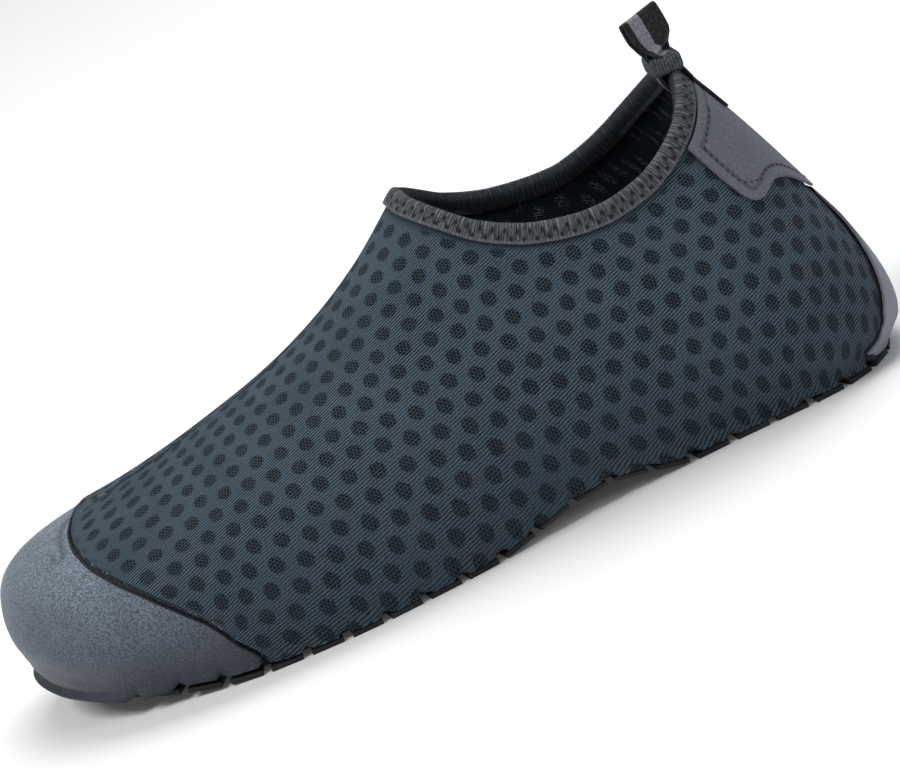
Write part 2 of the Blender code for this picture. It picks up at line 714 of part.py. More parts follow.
def insole():
    """The sock sheet on the upper's turned-under margin, clear of the wall, also where the toe's wall is deeper."""
    deeper = CAP_DROP + CAP_THICKNESS + GAP + CAP_BACKING - WALL
    base = FEATHER_INSET + WALL + INSOLE_CLEARANCE

    def inset(shares):
        return base + deeper * ease((shares - INSOLE_TOE[0]) / (INSOLE_TOE[1] - INSOLE_TOE[0]))

    def low(along):
        return sole_top(along) + WALL + 3 * GAP

    vertices, faces = flat_sheet(inset, low, lambda x: low(x) + INSOLE_THICKNESS)
    return add_piece("insole", vertices, faces, (0.020, 0.024, 0.034), 0.9)


def stand(pieces):
    """Moves the whole shoe so that the middle of its box stands on the world's origin."""
    bpy.context.view_layer.update()
    corners = np.array([vertex.co for piece in pieces for vertex in piece.data.vertices])
    low, high = corners.min(axis=0), corners.max(axis=0)
    shoe = bpy.data.objects.new("shoe", None)
    bpy.context.collection.objects.link(shoe)
    shoe.location = (-(low[0] + high[0]) / 2, -(low[1] + high[1]) / 2, -low[2])
    for piece in pieces:
        piece.parent = shoe


def main():
    for old in list(bpy.data.objects):
        bpy.data.objects.remove(old, do_unlink=True)
    skin = Skin()
    pieces = [upper(skin), toe_cap(skin), heel_patch(skin), heel_strip(skin), collar_binding(skin), pull_loop(skin)]
    stand(pieces + [insole()] + outsole())


main()
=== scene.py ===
import math

import bmesh
import bpy
import numpy as np
from mathutils import Matrix, Vector
from mathutils.bvhtree import BVHTree
from mathutils.kdtree import KDTree


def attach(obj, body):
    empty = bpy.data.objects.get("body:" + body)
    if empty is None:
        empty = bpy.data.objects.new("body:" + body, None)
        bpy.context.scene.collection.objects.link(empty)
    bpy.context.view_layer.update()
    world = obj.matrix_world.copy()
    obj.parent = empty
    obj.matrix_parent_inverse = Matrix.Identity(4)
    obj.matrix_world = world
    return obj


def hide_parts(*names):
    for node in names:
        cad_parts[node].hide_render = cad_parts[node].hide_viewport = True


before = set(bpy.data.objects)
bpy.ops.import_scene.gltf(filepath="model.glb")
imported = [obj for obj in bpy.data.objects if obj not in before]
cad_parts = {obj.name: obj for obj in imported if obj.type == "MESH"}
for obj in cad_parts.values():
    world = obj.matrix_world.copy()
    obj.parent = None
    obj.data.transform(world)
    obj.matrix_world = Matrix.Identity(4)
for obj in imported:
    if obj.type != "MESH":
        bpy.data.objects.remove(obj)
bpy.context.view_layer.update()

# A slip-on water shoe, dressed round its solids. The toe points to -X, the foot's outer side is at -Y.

MM = 0.001

# How the photo was taken: the camera's way round the shoe, its roll, and the point that it is aimed from
CAMERA_TURN = math.radians(-6.263)
CAMERA_RISE = math.radians(16.571)
CAMERA_ROLL = math.radians(22.928)
CAMERA_DISTANCE = 1.363
CAMERA_POINT = (0, 0, 0.05)
CAMERA_LENS = 189.83
CAMERA_SHIFT = (0.035, -0.0188)

# The knit as it was made: the two ways from a dot to its neighbours, the ribs' slant, and the pinholes
DOT_UP = (3.9 * MM, 6.35 * MM)
DOT_DOWN = (4.05 * MM, -6.4 * MM)
DOT_RADIUS = 2.35 * MM
RIB_TURN = math.radians(27.5)
RIB_PITCH = 0.765 * MM
HOLE_PITCH = 1.15 * MM
HOLE_ROW = RIB_PITCH * 1.15
HOLE_RADIUS = 0.41 * MM

# How the knit is pulled over the last: its dots counted along both ways, as a sum of terms.
# Each term is a power of the way along the flat cloth, one of the way up it, and its share of both counts.
PULL_MIDDLE = (0.01, 0.045)
PULL_REACH = (0.1, 0.06)
PULL_TERMS = (
    (0, 0, -2.687, -0.273),
    (0, 1, 4.213, -3.975),
    (0, 2, 0.521, -0.801),
    (0, 3, 0.050, 0.495),
    (0, 4, -0.034, -0.069),
    (1, 0, 13.668, 10.743),
    (1, 1, -3.035, -1.750),
    (1, 2, 0.876, 0.714),
    (1, 3, -0.166, -0.016),
    (2, 0, 1.986, -1.704),
    (2, 1, -1.509, -2.358),
    (2, 2, 0.090, 1.134),
    (3, 0, 0.162, 0.522),
    (3, 1, 0.290, 0.892),
    (4, 0, -0.848, -0.946),
)

# How far the toe seam is pulled to the toe, in mm, at shares of its way from the outer side to the inner
SEAM_PULL = (
    (0, 2.4), (0.07, 1.0), (0.10, -0.6), (0.14, -1.8), (0.19, -0.5), (0.24, 1.2), (0.29, 3.2), (0.34, 4.6),
    (0.40, 4.8), (0.45, 3.7), (0.50, 1.4), (0.54, -1.2), (0.58, -3.8), (0.63, -5.2), (0.72, -5), (1, 0),
)
SEAM_PULL_REACH = 27 * MM
SEAM_SPREAD = 9 * MM
SEAM_ROWS = 12

# The ridge of the vamp, which parts the shoe's two sides: its lowest height, its width and its fade
RIDGE_BASE = 25 * MM
RIDGE_WIDTH = 2.5 * MM
RIDGE_FADE = 60 * MM

# How far the cap's margin rolls out over the rubber at the toe and down it, and how high this reaches
TOE_ROLL_START = -98 * MM
TOE_ROLL_RAMP = 16 * MM
TOE_ROLL_OUT = 3.4 * MM
TOE_ROLL_REACH = 22 * MM
TOE_ROLL_DOWN = 2.2 * MM
TOE_RIM_REACH = 8 * MM

# How near the sole the cloth's margin fills out to it, the widest gap filled, and where the ends turn
MARGIN_REACH = 9 * MM
MARGIN_GAP = 6 * MM
MARGIN_TURN = 90 * MM

# The fold round the loop's foot: its reach over the collar's top, and how far it stands round the ribbon
FOLD_FOOT = 0.5 * MM
FOLD_TOP = 4.5 * MM
FOLD_MARGIN = (0.6 * MM, 0.2 * MM, 1.6 * MM)

# The thread ends inside the heel: how many, where they start, and how they step down and sway
OVERLOCK_COUNT = 11
OVERLOCK_BACK = 98 * MM
OVERLOCK_TOP = 94 * MM
OVERLOCK_STEP = 0.95 * MM
OVERLOCK_SIDE = 4.5 * MM
OVERLOCK_SWAY = 1.9 * MM

# The loop's waist, above which it is pulled open and taller, and the tail that is laid on the patch
LOOP_WAIST = 107 * MM
LOOP_OPENING = 0.3
LOOP_STRETCH = 1.24
TAIL_FRONT = 101 * MM
TAIL_TOP = 104 * MM

MESH_VALLEY = (0.0015, 0.0045, 0.0075)
MESH_RIDGE = (0.098, 0.148, 0.190)
MESH_SPECK = (0.140, 0.190, 0.230)
MESH_DISC = (0.008, 0.015, 0.022)

# How much wider the strip up the back is than its solid, at heights in mm
STRIP_HEIGHTS = (6, 14, 26, 38, 48, 60)
STRIP_SPREADS = (2.3, 2.4, 1.7, 0.95, 0.65, 0.6)

# How the strip's ends run on: up and in under the patch, down to the sole, and forward as it wraps the heel
STRIP_TOP_REACH = 8 * MM
STRIP_FOOT_REACH = 6 * MM
STRIP_RAISE = 2.4 * MM
STRIP_DROP = 1.6 * MM
STRIP_TUCK = 0.45
STRIP_WRAP = 0.35

# The cords along the toe seam: how far beside it, how high over the cloth, and how thick. The first is a
# black cord of painted shade in the trench by the cap
TOE_TRENCH_SHADE = (0.15 * MM, 0.0, 0.42 * MM)
TOE_RIDGE = (0.85 * MM, -0.12 * MM, 0.5 * MM)
TOE_REAR_LINE = (1.55 * MM, -0.08 * MM, 0.22 * MM)
TOE_THREAD_LIFT = 0.4 * MM
FAR_BEHIND = 60 * MM

# Each sewn thread's length and radius
TOE_THREAD = (1.0 * MM, 0.16 * MM)
PATCH_THREAD = (1.4 * MM, 0.2 * MM)
OVERLOCK_THREAD = (2.3 * MM, 0.2 * MM)
ZIGZAG_RADIUS = 0.17 * MM
STRIP_SEAM_RADIUS = 0.4 * MM

WELD = 0.00001
SHARP = math.radians(38)
BINDING_DEPTH = 5.0 * MM
BINDING_LIFT = 1.4 * MM
ZIGZAG_PITCH = 3.4 * MM
ZIGZAG_TOP = 1.9 * MM
ZIGZAG_FOOT = 3.7 * MM
PATCH_STITCH_INSET = 3.5 * MM
PATCH_STITCH_PITCH = 2.1 * MM


def choose(piece):
    """Makes one piece the only one selected."""
    bpy.ops.object.select_all(action="DESELECT")
    piece.select_set(True)
    bpy.context.view_layer.objects.active = piece


def copy_of(node, name):
    """A copy of a solid's mesh, with its loose corners joined and its triangles paired."""
    piece = bpy.data.objects.new(name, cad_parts[node].data.copy())
    bpy.context.collection.objects.link(piece)
    piece.data.name = name
    piece.data.materials.clear()
    choose(piece)
    bpy.ops.mesh.customdata_custom_splitnormals_clear()
    bpy.ops.object.mode_set(mode="EDIT")
    bpy.ops.mesh.select_all(action="SELECT")
    bpy.ops.mesh.remove_doubles(threshold=WELD)
    bpy.ops.mesh.tris_convert_to_quads(face_threshold=SHARP, shape_threshold=math.radians(70))
    bpy.ops.object.mode_set(mode="OBJECT")
    return piece


def crease_sharp(piece, amount, limit):
    """Holds a piece's sharp edges when it is subdivided."""
    work = bmesh.new()
    work.from_mesh(piece.data)
    layer = work.edges.layers.float.get("crease_edge") or work.edges.layers.float.new("crease_edge")
    for edge in work.edges:
        if len(edge.link_faces) == 2 and edge.calc_face_angle() > limit:
            edge[layer] = amount
    work.to_mesh(piece.data)
    work.free()


def apply(piece, kind, **settings):
    """Adds a modifier and applies it at once."""
    choose(piece)
    modifier = piece.modifiers.new(kind.lower(), kind)
    for key, value in settings.items():
        setattr(modifier, key, value)
    bpy.ops.object.modifier_apply(modifier=modifier.name)


def smooth(piece, levels, crease, limit=SHARP):
    """Subdivides a piece but holds its edges that are sharper than a limit."""
    crease_sharp(piece, crease, limit)
    apply(piece, "SUBSURF", levels=levels, render_levels=levels)
    choose(piece)
    bpy.ops.object.shade_smooth_by_angle(angle=math.radians(50))


def tree_of(piece):
    work = bmesh.new()
    work.from_mesh(piece.data)
    tree = BVHTree.FromBMesh(work)
    work.free()
    return tree


def finish_piece(piece, slot, *nodes):
    """Ties a finished piece to the shoe and hides the solids that it stands for; the slot is not used."""
    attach(piece, "root")
    if nodes:
        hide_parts(*nodes)


def spread_from(work, start, limit):
    """Faces that can be reached from one face without crossing an edge sharper than a limit."""
    found = {start.index}
    queue = [start]
    while queue:
        face = queue.pop()
        for edge in face.edges:
            if len(edge.link_faces) == 2 and edge.calc_face_angle() < limit:
                for other in edge.link_faces:
                    if other.index not in found:
                        found.add(other.index)
                        queue.append(other)
    return found


def border_rings(work, faces):
    """Ordered rings of corner numbers along the edges where a set of faces ends."""
    links = {}
    for edge in work.edges:
        if sum(face.index in faces for face in edge.link_faces) == 1:
            a, b = (vertex.index for vertex in edge.verts)
            links.setdefault(a, []).append(b)
            links.setdefault(b, []).append(a)
    left = set(links)
    rings = []
    while left:
        ring = [min(left)]
        left.discard(ring[0])
        while True:
            ahead = [number for number in links[ring[-1]] if number in left]
            if not ahead:
                break
            ring.append(ahead[0])
            left.discard(ahead[0])
        rings.append(ring)
    return rings


def resampled(points, step, closed):
    """A smooth line through points, read at even steps of its length."""
    points = np.asarray(points)
    if closed:
        padded = np.concatenate([points[-1:], points, points[:2]])
    else:
        padded = np.concatenate([points[:1], points, points[-1:]])
    dense = []
    for i in range(1, len(padded) - 2):
        a, b, c, d = padded[i - 1:i + 3]
        for t in np.linspace(0, 1, 8, endpoint=False):
            dense.append(0.5 * (2 * b + (c - a) * t + (2 * a - 5 * b + 4 * c - d) * t * t
                                + (3 * b - a - 3 * c + d) * t ** 3))
    dense.append(padded[-2])
    dense = np.array(dense)
    way = np.concatenate([[0], np.cumsum(np.linalg.norm(np.diff(dense, axis=0), axis=1))])
    count = max(int(round(way[-1] / step)), 2)
    targets = np.linspace(0, way[-1], count, endpoint=not closed)
    return np.stack([np.interp(targets, way, column) for column in dense.T], -1)


def tangents(line, closed):
    """Unit directions along a line of points."""
    if closed:
        ahead = np.roll(line, -1, axis=0) - np.roll(line, 1, axis=0)
    else:
        ahead = np.gradient(line, axis=0)
    return ahead / np.linalg.norm(ahead, axis=1)[:, None]


def settle(tree, points, lift):
    """Lays points on a surface, lifted off it, and gives the surface's directions there too."""
    places, normals = [], []
    for point in points:
        place, normal, _, _ = tree.find_nearest(Vector(point))
        places.append(place + normal * lift)
        normals.append(normal)
    return np.array(places), np.array(normals)


def inset_line(tree, line, closed, inset, lift, towards):
    """A line laid on a surface at a distance beside another line, on the side of a point."""
    places, normals = settle(tree, line, 0)
    beside = np.cross(normals, tangents(places, closed))
    beside /= np.linalg.norm(beside, axis=1)[:, None]
    beside *= np.sign(np.sum(beside * (np.asarray(towards) - places), axis=1).mean())
    return settle(tree, places + beside * inset, lift)


def tube(name, line, closed, radius, finish, sides=3):
    """A round cord laid along a line, as a mesh."""
    curve = bpy.data.curves.new(name, "CURVE")
    curve.dimensions = "3D"
    curve.bevel_depth = radius
    curve.bevel_resolution = sides
    curve.use_fill_caps = not closed
    spline = curve.splines.new("POLY")
    spline.points.add(len(line) - 1)
    spline.points.foreach_set("co", np.c_[line, np.ones(len(line))].ravel())
    spline.use_cyclic_u = closed
    piece = bpy.data.objects.new(name, curve)
    bpy.context.collection.objects.link(piece)
    choose(piece)
    bpy.ops.object.convert(target="MESH")
    piece = bpy.context.view_layer.objects.active
    piece.data.shade_smooth()
    piece.data.materials.append(finish)
    return piece


def stitches(name, places, directions, normals, length, radius, finish):
    """One mesh of many short sewn threads, each a slim rounded bar that dips at its ends."""
    base = bmesh.new()
    bmesh.ops.create_uvsphere(base, u_segments=6, v_segments=6, radius=1)
    shape = np.array([vertex.co for vertex in base.verts])
    sides = [[vertex.index for vertex in face.verts] for face in base.faces]
    base.free()
    corners, faces = [], []
    for place, direction, normal in zip(places, directions, normals):
        normal = normal - direction * (normal @ direction)
        normal = normal / np.linalg.norm(normal)
        beside = np.cross(direction, normal)
        faces += [[i + len(corners) * len(shape) for i in side] for side in sides]
        along = shape[:, 2:3] * direction * length / 2
        bowed = normal * radius * (shape[:, 1:2] - 0.8 * shape[:, 2:3] ** 2)
        corners.append(place + along + shape[:, 0:1] * beside * radius + bowed)
    mesh = bpy.data.meshes.new(name)
    mesh.from_pydata(np.concatenate(corners), [], faces)
    mesh.shade_smooth()
    mesh.materials.append(finish)
    piece = bpy.data.objects.new(name, mesh)
    bpy.context.collection.objects.link(piece)
    return piece


def near_tree(points):
    """Finds the nearest of a list of points."""
    tree = KDTree(len(points))
    for i, point in enumerate(points):
        tree.insert(point, i)
    tree.balance()
    return tree


def store_distance(piece, name, line):
    """Writes how far each corner lies from a line, for the materials."""
    tree = near_tree(line)
    values = [tree.find(vertex.co)[2] for vertex in piece.data.vertices]
    layer = piece.data.attributes.new(name, "FLOAT", "POINT")
    layer.data.foreach_set("value", values)


# A mix node's colour sockets, after its sockets for numbers and vectors
COLOUR_A, COLOUR_B, COLOUR_OUT = 6, 7, 2


class Finish:
    """A material whose nodes are added a line at a time."""

    def __init__(self, name, colour, roughness):
        self.material = bpy.data.materials.new(name)
        self.material.use_nodes = True
        self.tree = self.material.node_tree
        self.shader = self.tree.nodes["Principled BSDF"]
        self.shader.inputs["Base Color"].default_value = (*colour, 1)
        self.shader.inputs["Roughness"].default_value = roughness
        self.shader.inputs["Specular IOR Level"].default_value = 0.3

    def put(self, socket, value):
        """Links a socket or sets its value."""
        if isinstance(value, bpy.types.NodeSocket):
            self.tree.links.new(value, socket)
        elif isinstance(value, tuple) and len(value) == 3 and len(socket.default_value) == 4:
            socket.default_value = (*value, 1)
        else:
            socket.default_value = value

    def add(self, kind, **settings):
        node = self.tree.nodes.new(kind)
        for key, value in settings.items():
            setattr(node, key, value)
        return node

    def cloth(self, name="cloth"):
        return self.add("ShaderNodeUVMap", uv_map=name).outputs["UV"]

    def place(self):
        return self.add("ShaderNodeTexCoord").outputs["Object"]

    def layer(self, name):
        return self.add("ShaderNodeAttribute", attribute_name=name).outputs["Fac"]

    def math(self, operation, *values):
        node = self.add("ShaderNodeMath", operation=operation)
        for socket, value in zip(node.inputs, values):
            self.put(socket, value)
        return node.outputs[0]

    def vector(self, operation, *values):
        """Vector maths: a number for a dot product or a length, otherwise a vector."""
        node = self.add("ShaderNodeVectorMath", operation=operation)
        for socket, value in zip(node.inputs, values):
            self.put(socket, value)
        return node.outputs["Value" if operation in ("DOT_PRODUCT", "LENGTH") else "Vector"]

    def scaled(self, vector, amount):
        node = self.add("ShaderNodeVectorMath", operation="SCALE")
        self.put(node.inputs[0], vector)
        self.put(node.inputs["Scale"], amount)
        return node.outputs["Vector"]

    def rise(self, value, low, high):
        """Goes smoothly from 0 to 1 as a value goes from low to high."""
        node = self.add("ShaderNodeMapRange", interpolation_type="SMOOTHSTEP")
        for name, setting in (("Value", value), ("From Min", low), ("From Max", high)):
            self.put(node.inputs[name], setting)
        return node.outputs["Result"]

    def fall(self, value, low, high):
        return self.math("SUBTRACT", 1.0, self.rise(value, low, high))

    def between(self, value, low, high):
        """Maps 0 to 1 onto a range."""
        node = self.add("ShaderNodeMapRange")
        for name, setting in (("Value", value), ("To Min", low), ("To Max", high)):
            self.put(node.inputs[name], setting)
        return node.outputs["Result"]

    def mix(self, share, first, second):
        node = self.add("ShaderNodeMix", data_type="RGBA")
        self.put(node.inputs["Factor"], share)
        self.put(node.inputs[COLOUR_A], first)
        self.put(node.inputs[COLOUR_B], second)
        return node.outputs[COLOUR_OUT]

    def tint(self, colour, share, amount, shade):
        """Lays a shade over a colour, by an amount where the share is 1."""
        return self.mix(self.math("MULTIPLY", share, amount), colour, shade)

    def axis(self, vector, name):
        """One of a vector's numbers."""
        node = self.add("ShaderNodeSeparateXYZ")
        self.put(node.inputs[0], vector)
        return node.outputs[name]

    def noise(self, vector, scale, detail=2.0, roughness=0.5):
        node = self.add("ShaderNodeTexNoise")
        self.put(node.inputs["Vector"], vector)
        for name, setting in (("Scale", scale), ("Detail", detail), ("Roughness", roughness)):
            self.put(node.inputs[name], setting)
        return node.outputs["Fac"]

    def wobbled(self, vector, scale, amount):
        """A vector moved a little each way by noise."""
        node = self.add("ShaderNodeTexNoise")
        self.put(node.inputs["Vector"], vector)
        self.put(node.inputs["Scale"], scale)
        shift = self.vector("SUBTRACT", node.outputs["Color"], (0.5, 0.5, 0.5))
        return self.vector("ADD", vector, self.scaled(shift, amount))

    def hole_offset(self, turns, depth, turn, row):
        """How far a point lies from one of the zigzag's holes, as a vector."""
        node = self.add("ShaderNodeCombineXYZ")
        self.put(node.inputs[0], self.math("MULTIPLY", self.math("SUBTRACT", turns, turn), ZIGZAG_PITCH))
        self.put(node.inputs[1], self.math("SUBTRACT", depth, row))
        return node.outputs[0]

    def wave(self, vector, turn, pitch):
        """A rounded ridge pattern from 0 to 1 across a direction of the flat cloth."""
        across = (-math.sin(turn) / pitch, math.cos(turn) / pitch, 0.0)
        turns = self.math("MULTIPLY", self.vector("DOT_PRODUCT", vector, across), 2 * math.pi)
        return self.math("MULTIPLY_ADD", self.math("SINE", turns), 0.5, 0.5)

    def to_lattice(self, vector, first, second):
        """Distance to the lattice point of the cell that a point is in."""
        size = first[0] * second[1] - first[1] * second[0]
        shares = (
            self.vector("DOT_PRODUCT", vector, (second[1] / size, -second[0] / size, 0.0)),
            self.vector("DOT_PRODUCT", vector, (-first[1] / size, first[0] / size, 0.0)),
        )
        steps = []
        for share, way in zip(shares, (first, second)):
            part = self.math("SUBTRACT", self.math("FRACT", self.math("ADD", share, 0.5)), 0.5)
            steps.append(self.scaled((*way, 0.0), part))
        return self.vector("LENGTH", self.vector("ADD", *steps))

    def bump(self, height, distance, under=None):
        node = self.add("ShaderNodeBump")
        self.put(node.inputs["Height"], height)
        node.inputs["Distance"].default_value = distance
        if under is not None:
            self.put(node.inputs["Normal"], under)
        return node.outputs["Normal"]

    def surface(self, colour, normal=None, roughness=None):
        self.put(self.shader.inputs["Base Color"], colour)
        if normal is not None:
            self.put(self.shader.inputs["Normal"], normal)
        if roughness is not None:
            self.put(self.shader.inputs["Roughness"], roughness)
        return self.material


def slate_mesh():
    """Knitted spacer mesh: fine slanted ribs, and staggered dots of pinholes that fade at the sole; painted
    shade darkens it under the binding, beside the toe cap, along the sole and low down.
    """
    finish = Finish("slate_mesh", (0.05, 0.07, 0.09), 0.85)
    cloth = finish.cloth("knit")
    ragged = finish.wobbled(cloth, 700, 0.9 * MM)
    to_dot = finish.to_lattice(ragged, DOT_UP, DOT_DOWN)
    dot = finish.fall(to_dot, DOT_RADIUS - 0.55 * MM, DOT_RADIUS + 0.3 * MM)
    above_sole = finish.layer("above_sole")
    below_collar = finish.layer("below_collar")
    near_sole = finish.rise(above_sole, 4.5 * MM, 7 * MM)
    near_cap = finish.rise(finish.layer("behind_cap"), 1.5 * MM, 3.5 * MM)
    near_collar = finish.rise(below_collar, 5.5 * MM, 7 * MM)
    dot = finish.math("MULTIPLY", dot, finish.math("MULTIPLY", near_sole, near_cap))
    dot = finish.math("MULTIPLY", dot, near_collar)
    knit = finish.wobbled(cloth, 800, 0.42 * MM)
    rib = finish.wave(knit, RIB_TURN, RIB_PITCH)
    ahead, beside = (math.cos(RIB_TURN), math.sin(RIB_TURN)), (-math.sin(RIB_TURN), math.cos(RIB_TURN))
    way = tuple(share * HOLE_PITCH for share in ahead)
    over = tuple(a / 2 + b * HOLE_ROW for a, b in zip(way, beside))
    hole = finish.fall(finish.to_lattice(knit, way, over), HOLE_RADIUS * 0.45, HOLE_RADIUS * 1.2)
    pinholes = finish.math("MULTIPLY", hole, dot)
    patchy = finish.rise(finish.noise(cloth, 38, 4.0, 0.6), 0.34, 0.66)
    margin = finish.rise(above_sole, 1.5 * MM, 6 * MM)
    strength = finish.math("MULTIPLY", finish.between(patchy, 0.55, 1.1), finish.between(margin, 0.35, 1.0))
    stripes = finish.math("MULTIPLY", finish.math("SUBTRACT", rib, 0.5), strength)
    shade = finish.math("ADD", stripes, 0.5)
    colour = finish.mix(shade, MESH_VALLEY, MESH_RIDGE)
    speck = finish.rise(finish.noise(cloth, 2200, 1.0), 0.45, 0.65)
    colour = finish.tint(colour, speck, 0.24, MESH_SPECK)
    colour = finish.tint(colour, dot, 0.46, MESH_DISC)
    colour = finish.mix(pinholes, colour, (0.002, 0.004, 0.006))
    # Painted shade: the mesh is darkened under the binding, beside the toe cap, along the sole and towards
    # the bottom, where shade falls.
    under_binding = finish.fall(below_collar, 4.8 * MM, 7.0 * MM)
    beside_cap = finish.fall(finish.layer("behind_cap"), 0.3 * MM, 4 * MM)
    painted_shade = finish.math("MULTIPLY", under_binding, 0.7)
    at_margin = finish.fall(above_sole, 0.5 * MM, 3.5 * MM)
    low_down = finish.fall(above_sole, 8 * MM, 60 * MM)
    for share, amount in ((beside_cap, 0.35), (at_margin, 0.4), (low_down, 0.36)):
        painted_shade = finish.math("MAXIMUM", painted_shade, finish.math("MULTIPLY", share, amount))
    colour = finish.mix(painted_shade, colour, (0.012, 0.017, 0.024))
    height = finish.math("SUBTRACT", stripes, finish.math("MULTIPLY", dot, 0.5))
    height = finish.math("SUBTRACT", height, pinholes)
    finish.shader.inputs["Specular IOR Level"].default_value = 0.12
    finish.shader.inputs["Sheen Weight"].default_value = 0.04
    return finish.surface(colour, finish.bump(height, 0.34 * MM))


def dark_lining():
    """The inner face: black knit, with paler thread where the dots come through."""
    finish = Finish("dark_lining", (0.010, 0.013, 0.018), 0.9)
    cloth = finish.cloth("knit")
    ragged = finish.wobbled(cloth, 700, 1.2 * MM)
    dot = finish.fall(finish.to_lattice(ragged, DOT_UP, DOT_DOWN), 1.2 * MM, 2.5 * MM)
    thread = finish.rise(finish.noise(cloth, 1500, 1.0), 0.50, 0.60)
    rib = finish.wave(finish.wobbled(cloth, 520, 0.3 * MM), RIB_TURN, RIB_PITCH)
    colour = finish.mix(rib, (0.008, 0.012, 0.018), (0.034, 0.048, 0.064))
    colour = finish.tint(colour, dot, thread, (0.24, 0.26, 0.30))
    return finish.surface(colour, finish.bump(rib, 0.15 * MM))


def grey_nap():
    """The toe cap's cloth with a short, slanted nap, and painted shade that darkens it towards the sole."""
    finish = Finish("grey_nap", (0.17, 0.19, 0.21), 0.9)
    place = finish.place()
    stretched = finish.vector("MULTIPLY", place, (0.7, 1.0, 0.9))
    fine = finish.noise(stretched, 2900, 1.0, 0.5)
    streak = finish.noise(finish.vector("MULTIPLY", place, (0.6, 1.1, 1.1)), 1900, 1.0, 0.5)
    broad = finish.noise(place, 60, 3.0, 0.6)
    grain = finish.math("MULTIPLY_ADD", streak, 0.3, finish.math("MULTIPLY", fine, 0.7))
    colour = finish.mix(finish.rise(grain, 0.34, 0.66), (0.042, 0.056, 0.074), (0.232, 0.286, 0.346))
    colour = finish.tint(colour, finish.rise(broad, 0.42, 0.62), 0.28, (0.080, 0.092, 0.115))
    # Painted shade: the cap is darkened towards the sole, where its lower part turns away from the light.
    low = finish.fall(finish.axis(place, "Z"), 4 * MM, 44 * MM)
    colour = finish.tint(colour, low, 0.86, (0.030, 0.032, 0.044))
    tip = finish.fall(finish.axis(place, "X"), -136 * MM, -112 * MM)
    colour = finish.tint(colour, tip, 0.35, (0.060, 0.072, 0.095))
    edge = finish.fall(finish.layer("from_edge"), 0.1 * MM, 2.0 * MM)
    colour = finish.tint(colour, edge, 0.6, (0.02, 0.024, 0.03))
    finish.shader.inputs["Sheen Weight"].default_value = 0.25
    finish.shader.inputs["Sheen Roughness"].default_value = 0.45
    return finish.surface(colour, finish.bump(grain, 0.3 * MM))


def grey_cloth():
    """Smooth close-woven cloth of the heel's panels, with a stitched groove inside its edge."""
    finish = Finish("grey_cloth", (0.13, 0.132, 0.155), 0.75)
    place = finish.place()
    fine = finish.noise(place, 1700, 2.0, 0.6)
    broad = finish.noise(place, 90, 3.0)
    colour = finish.mix(finish.rise(fine, 0.3, 0.7), (0.100, 0.102, 0.125), (0.165, 0.168, 0.195))
    colour = finish.tint(colour, finish.rise(broad, 0.35, 0.7), 0.2, (0.10, 0.102, 0.12))
    # Paler towards the bottom.
    paler_low_down = finish.fall(finish.axis(place, "Z"), 30 * MM, 62 * MM)
    colour = finish.tint(colour, paler_low_down, 0.6, (0.260, 0.280, 0.330))
    edge = finish.layer("from_edge")
    away = finish.math("ABSOLUTE", finish.math("SUBTRACT", edge, finish.layer("stitch_inset")))
    groove = finish.fall(away, 0.1 * MM, 0.9 * MM)
    colour = finish.tint(colour, groove, 0.55, (0.045, 0.047, 0.058))
    rim = finish.fall(edge, 0.1 * MM, 0.5 * MM)
    colour = finish.tint(colour, rim, 0.4, (0.05, 0.052, 0.062))
    weave = finish.bump(fine, 0.06 * MM)
    return finish.surface(colour, finish.bump(groove, -0.45 * MM, weave))


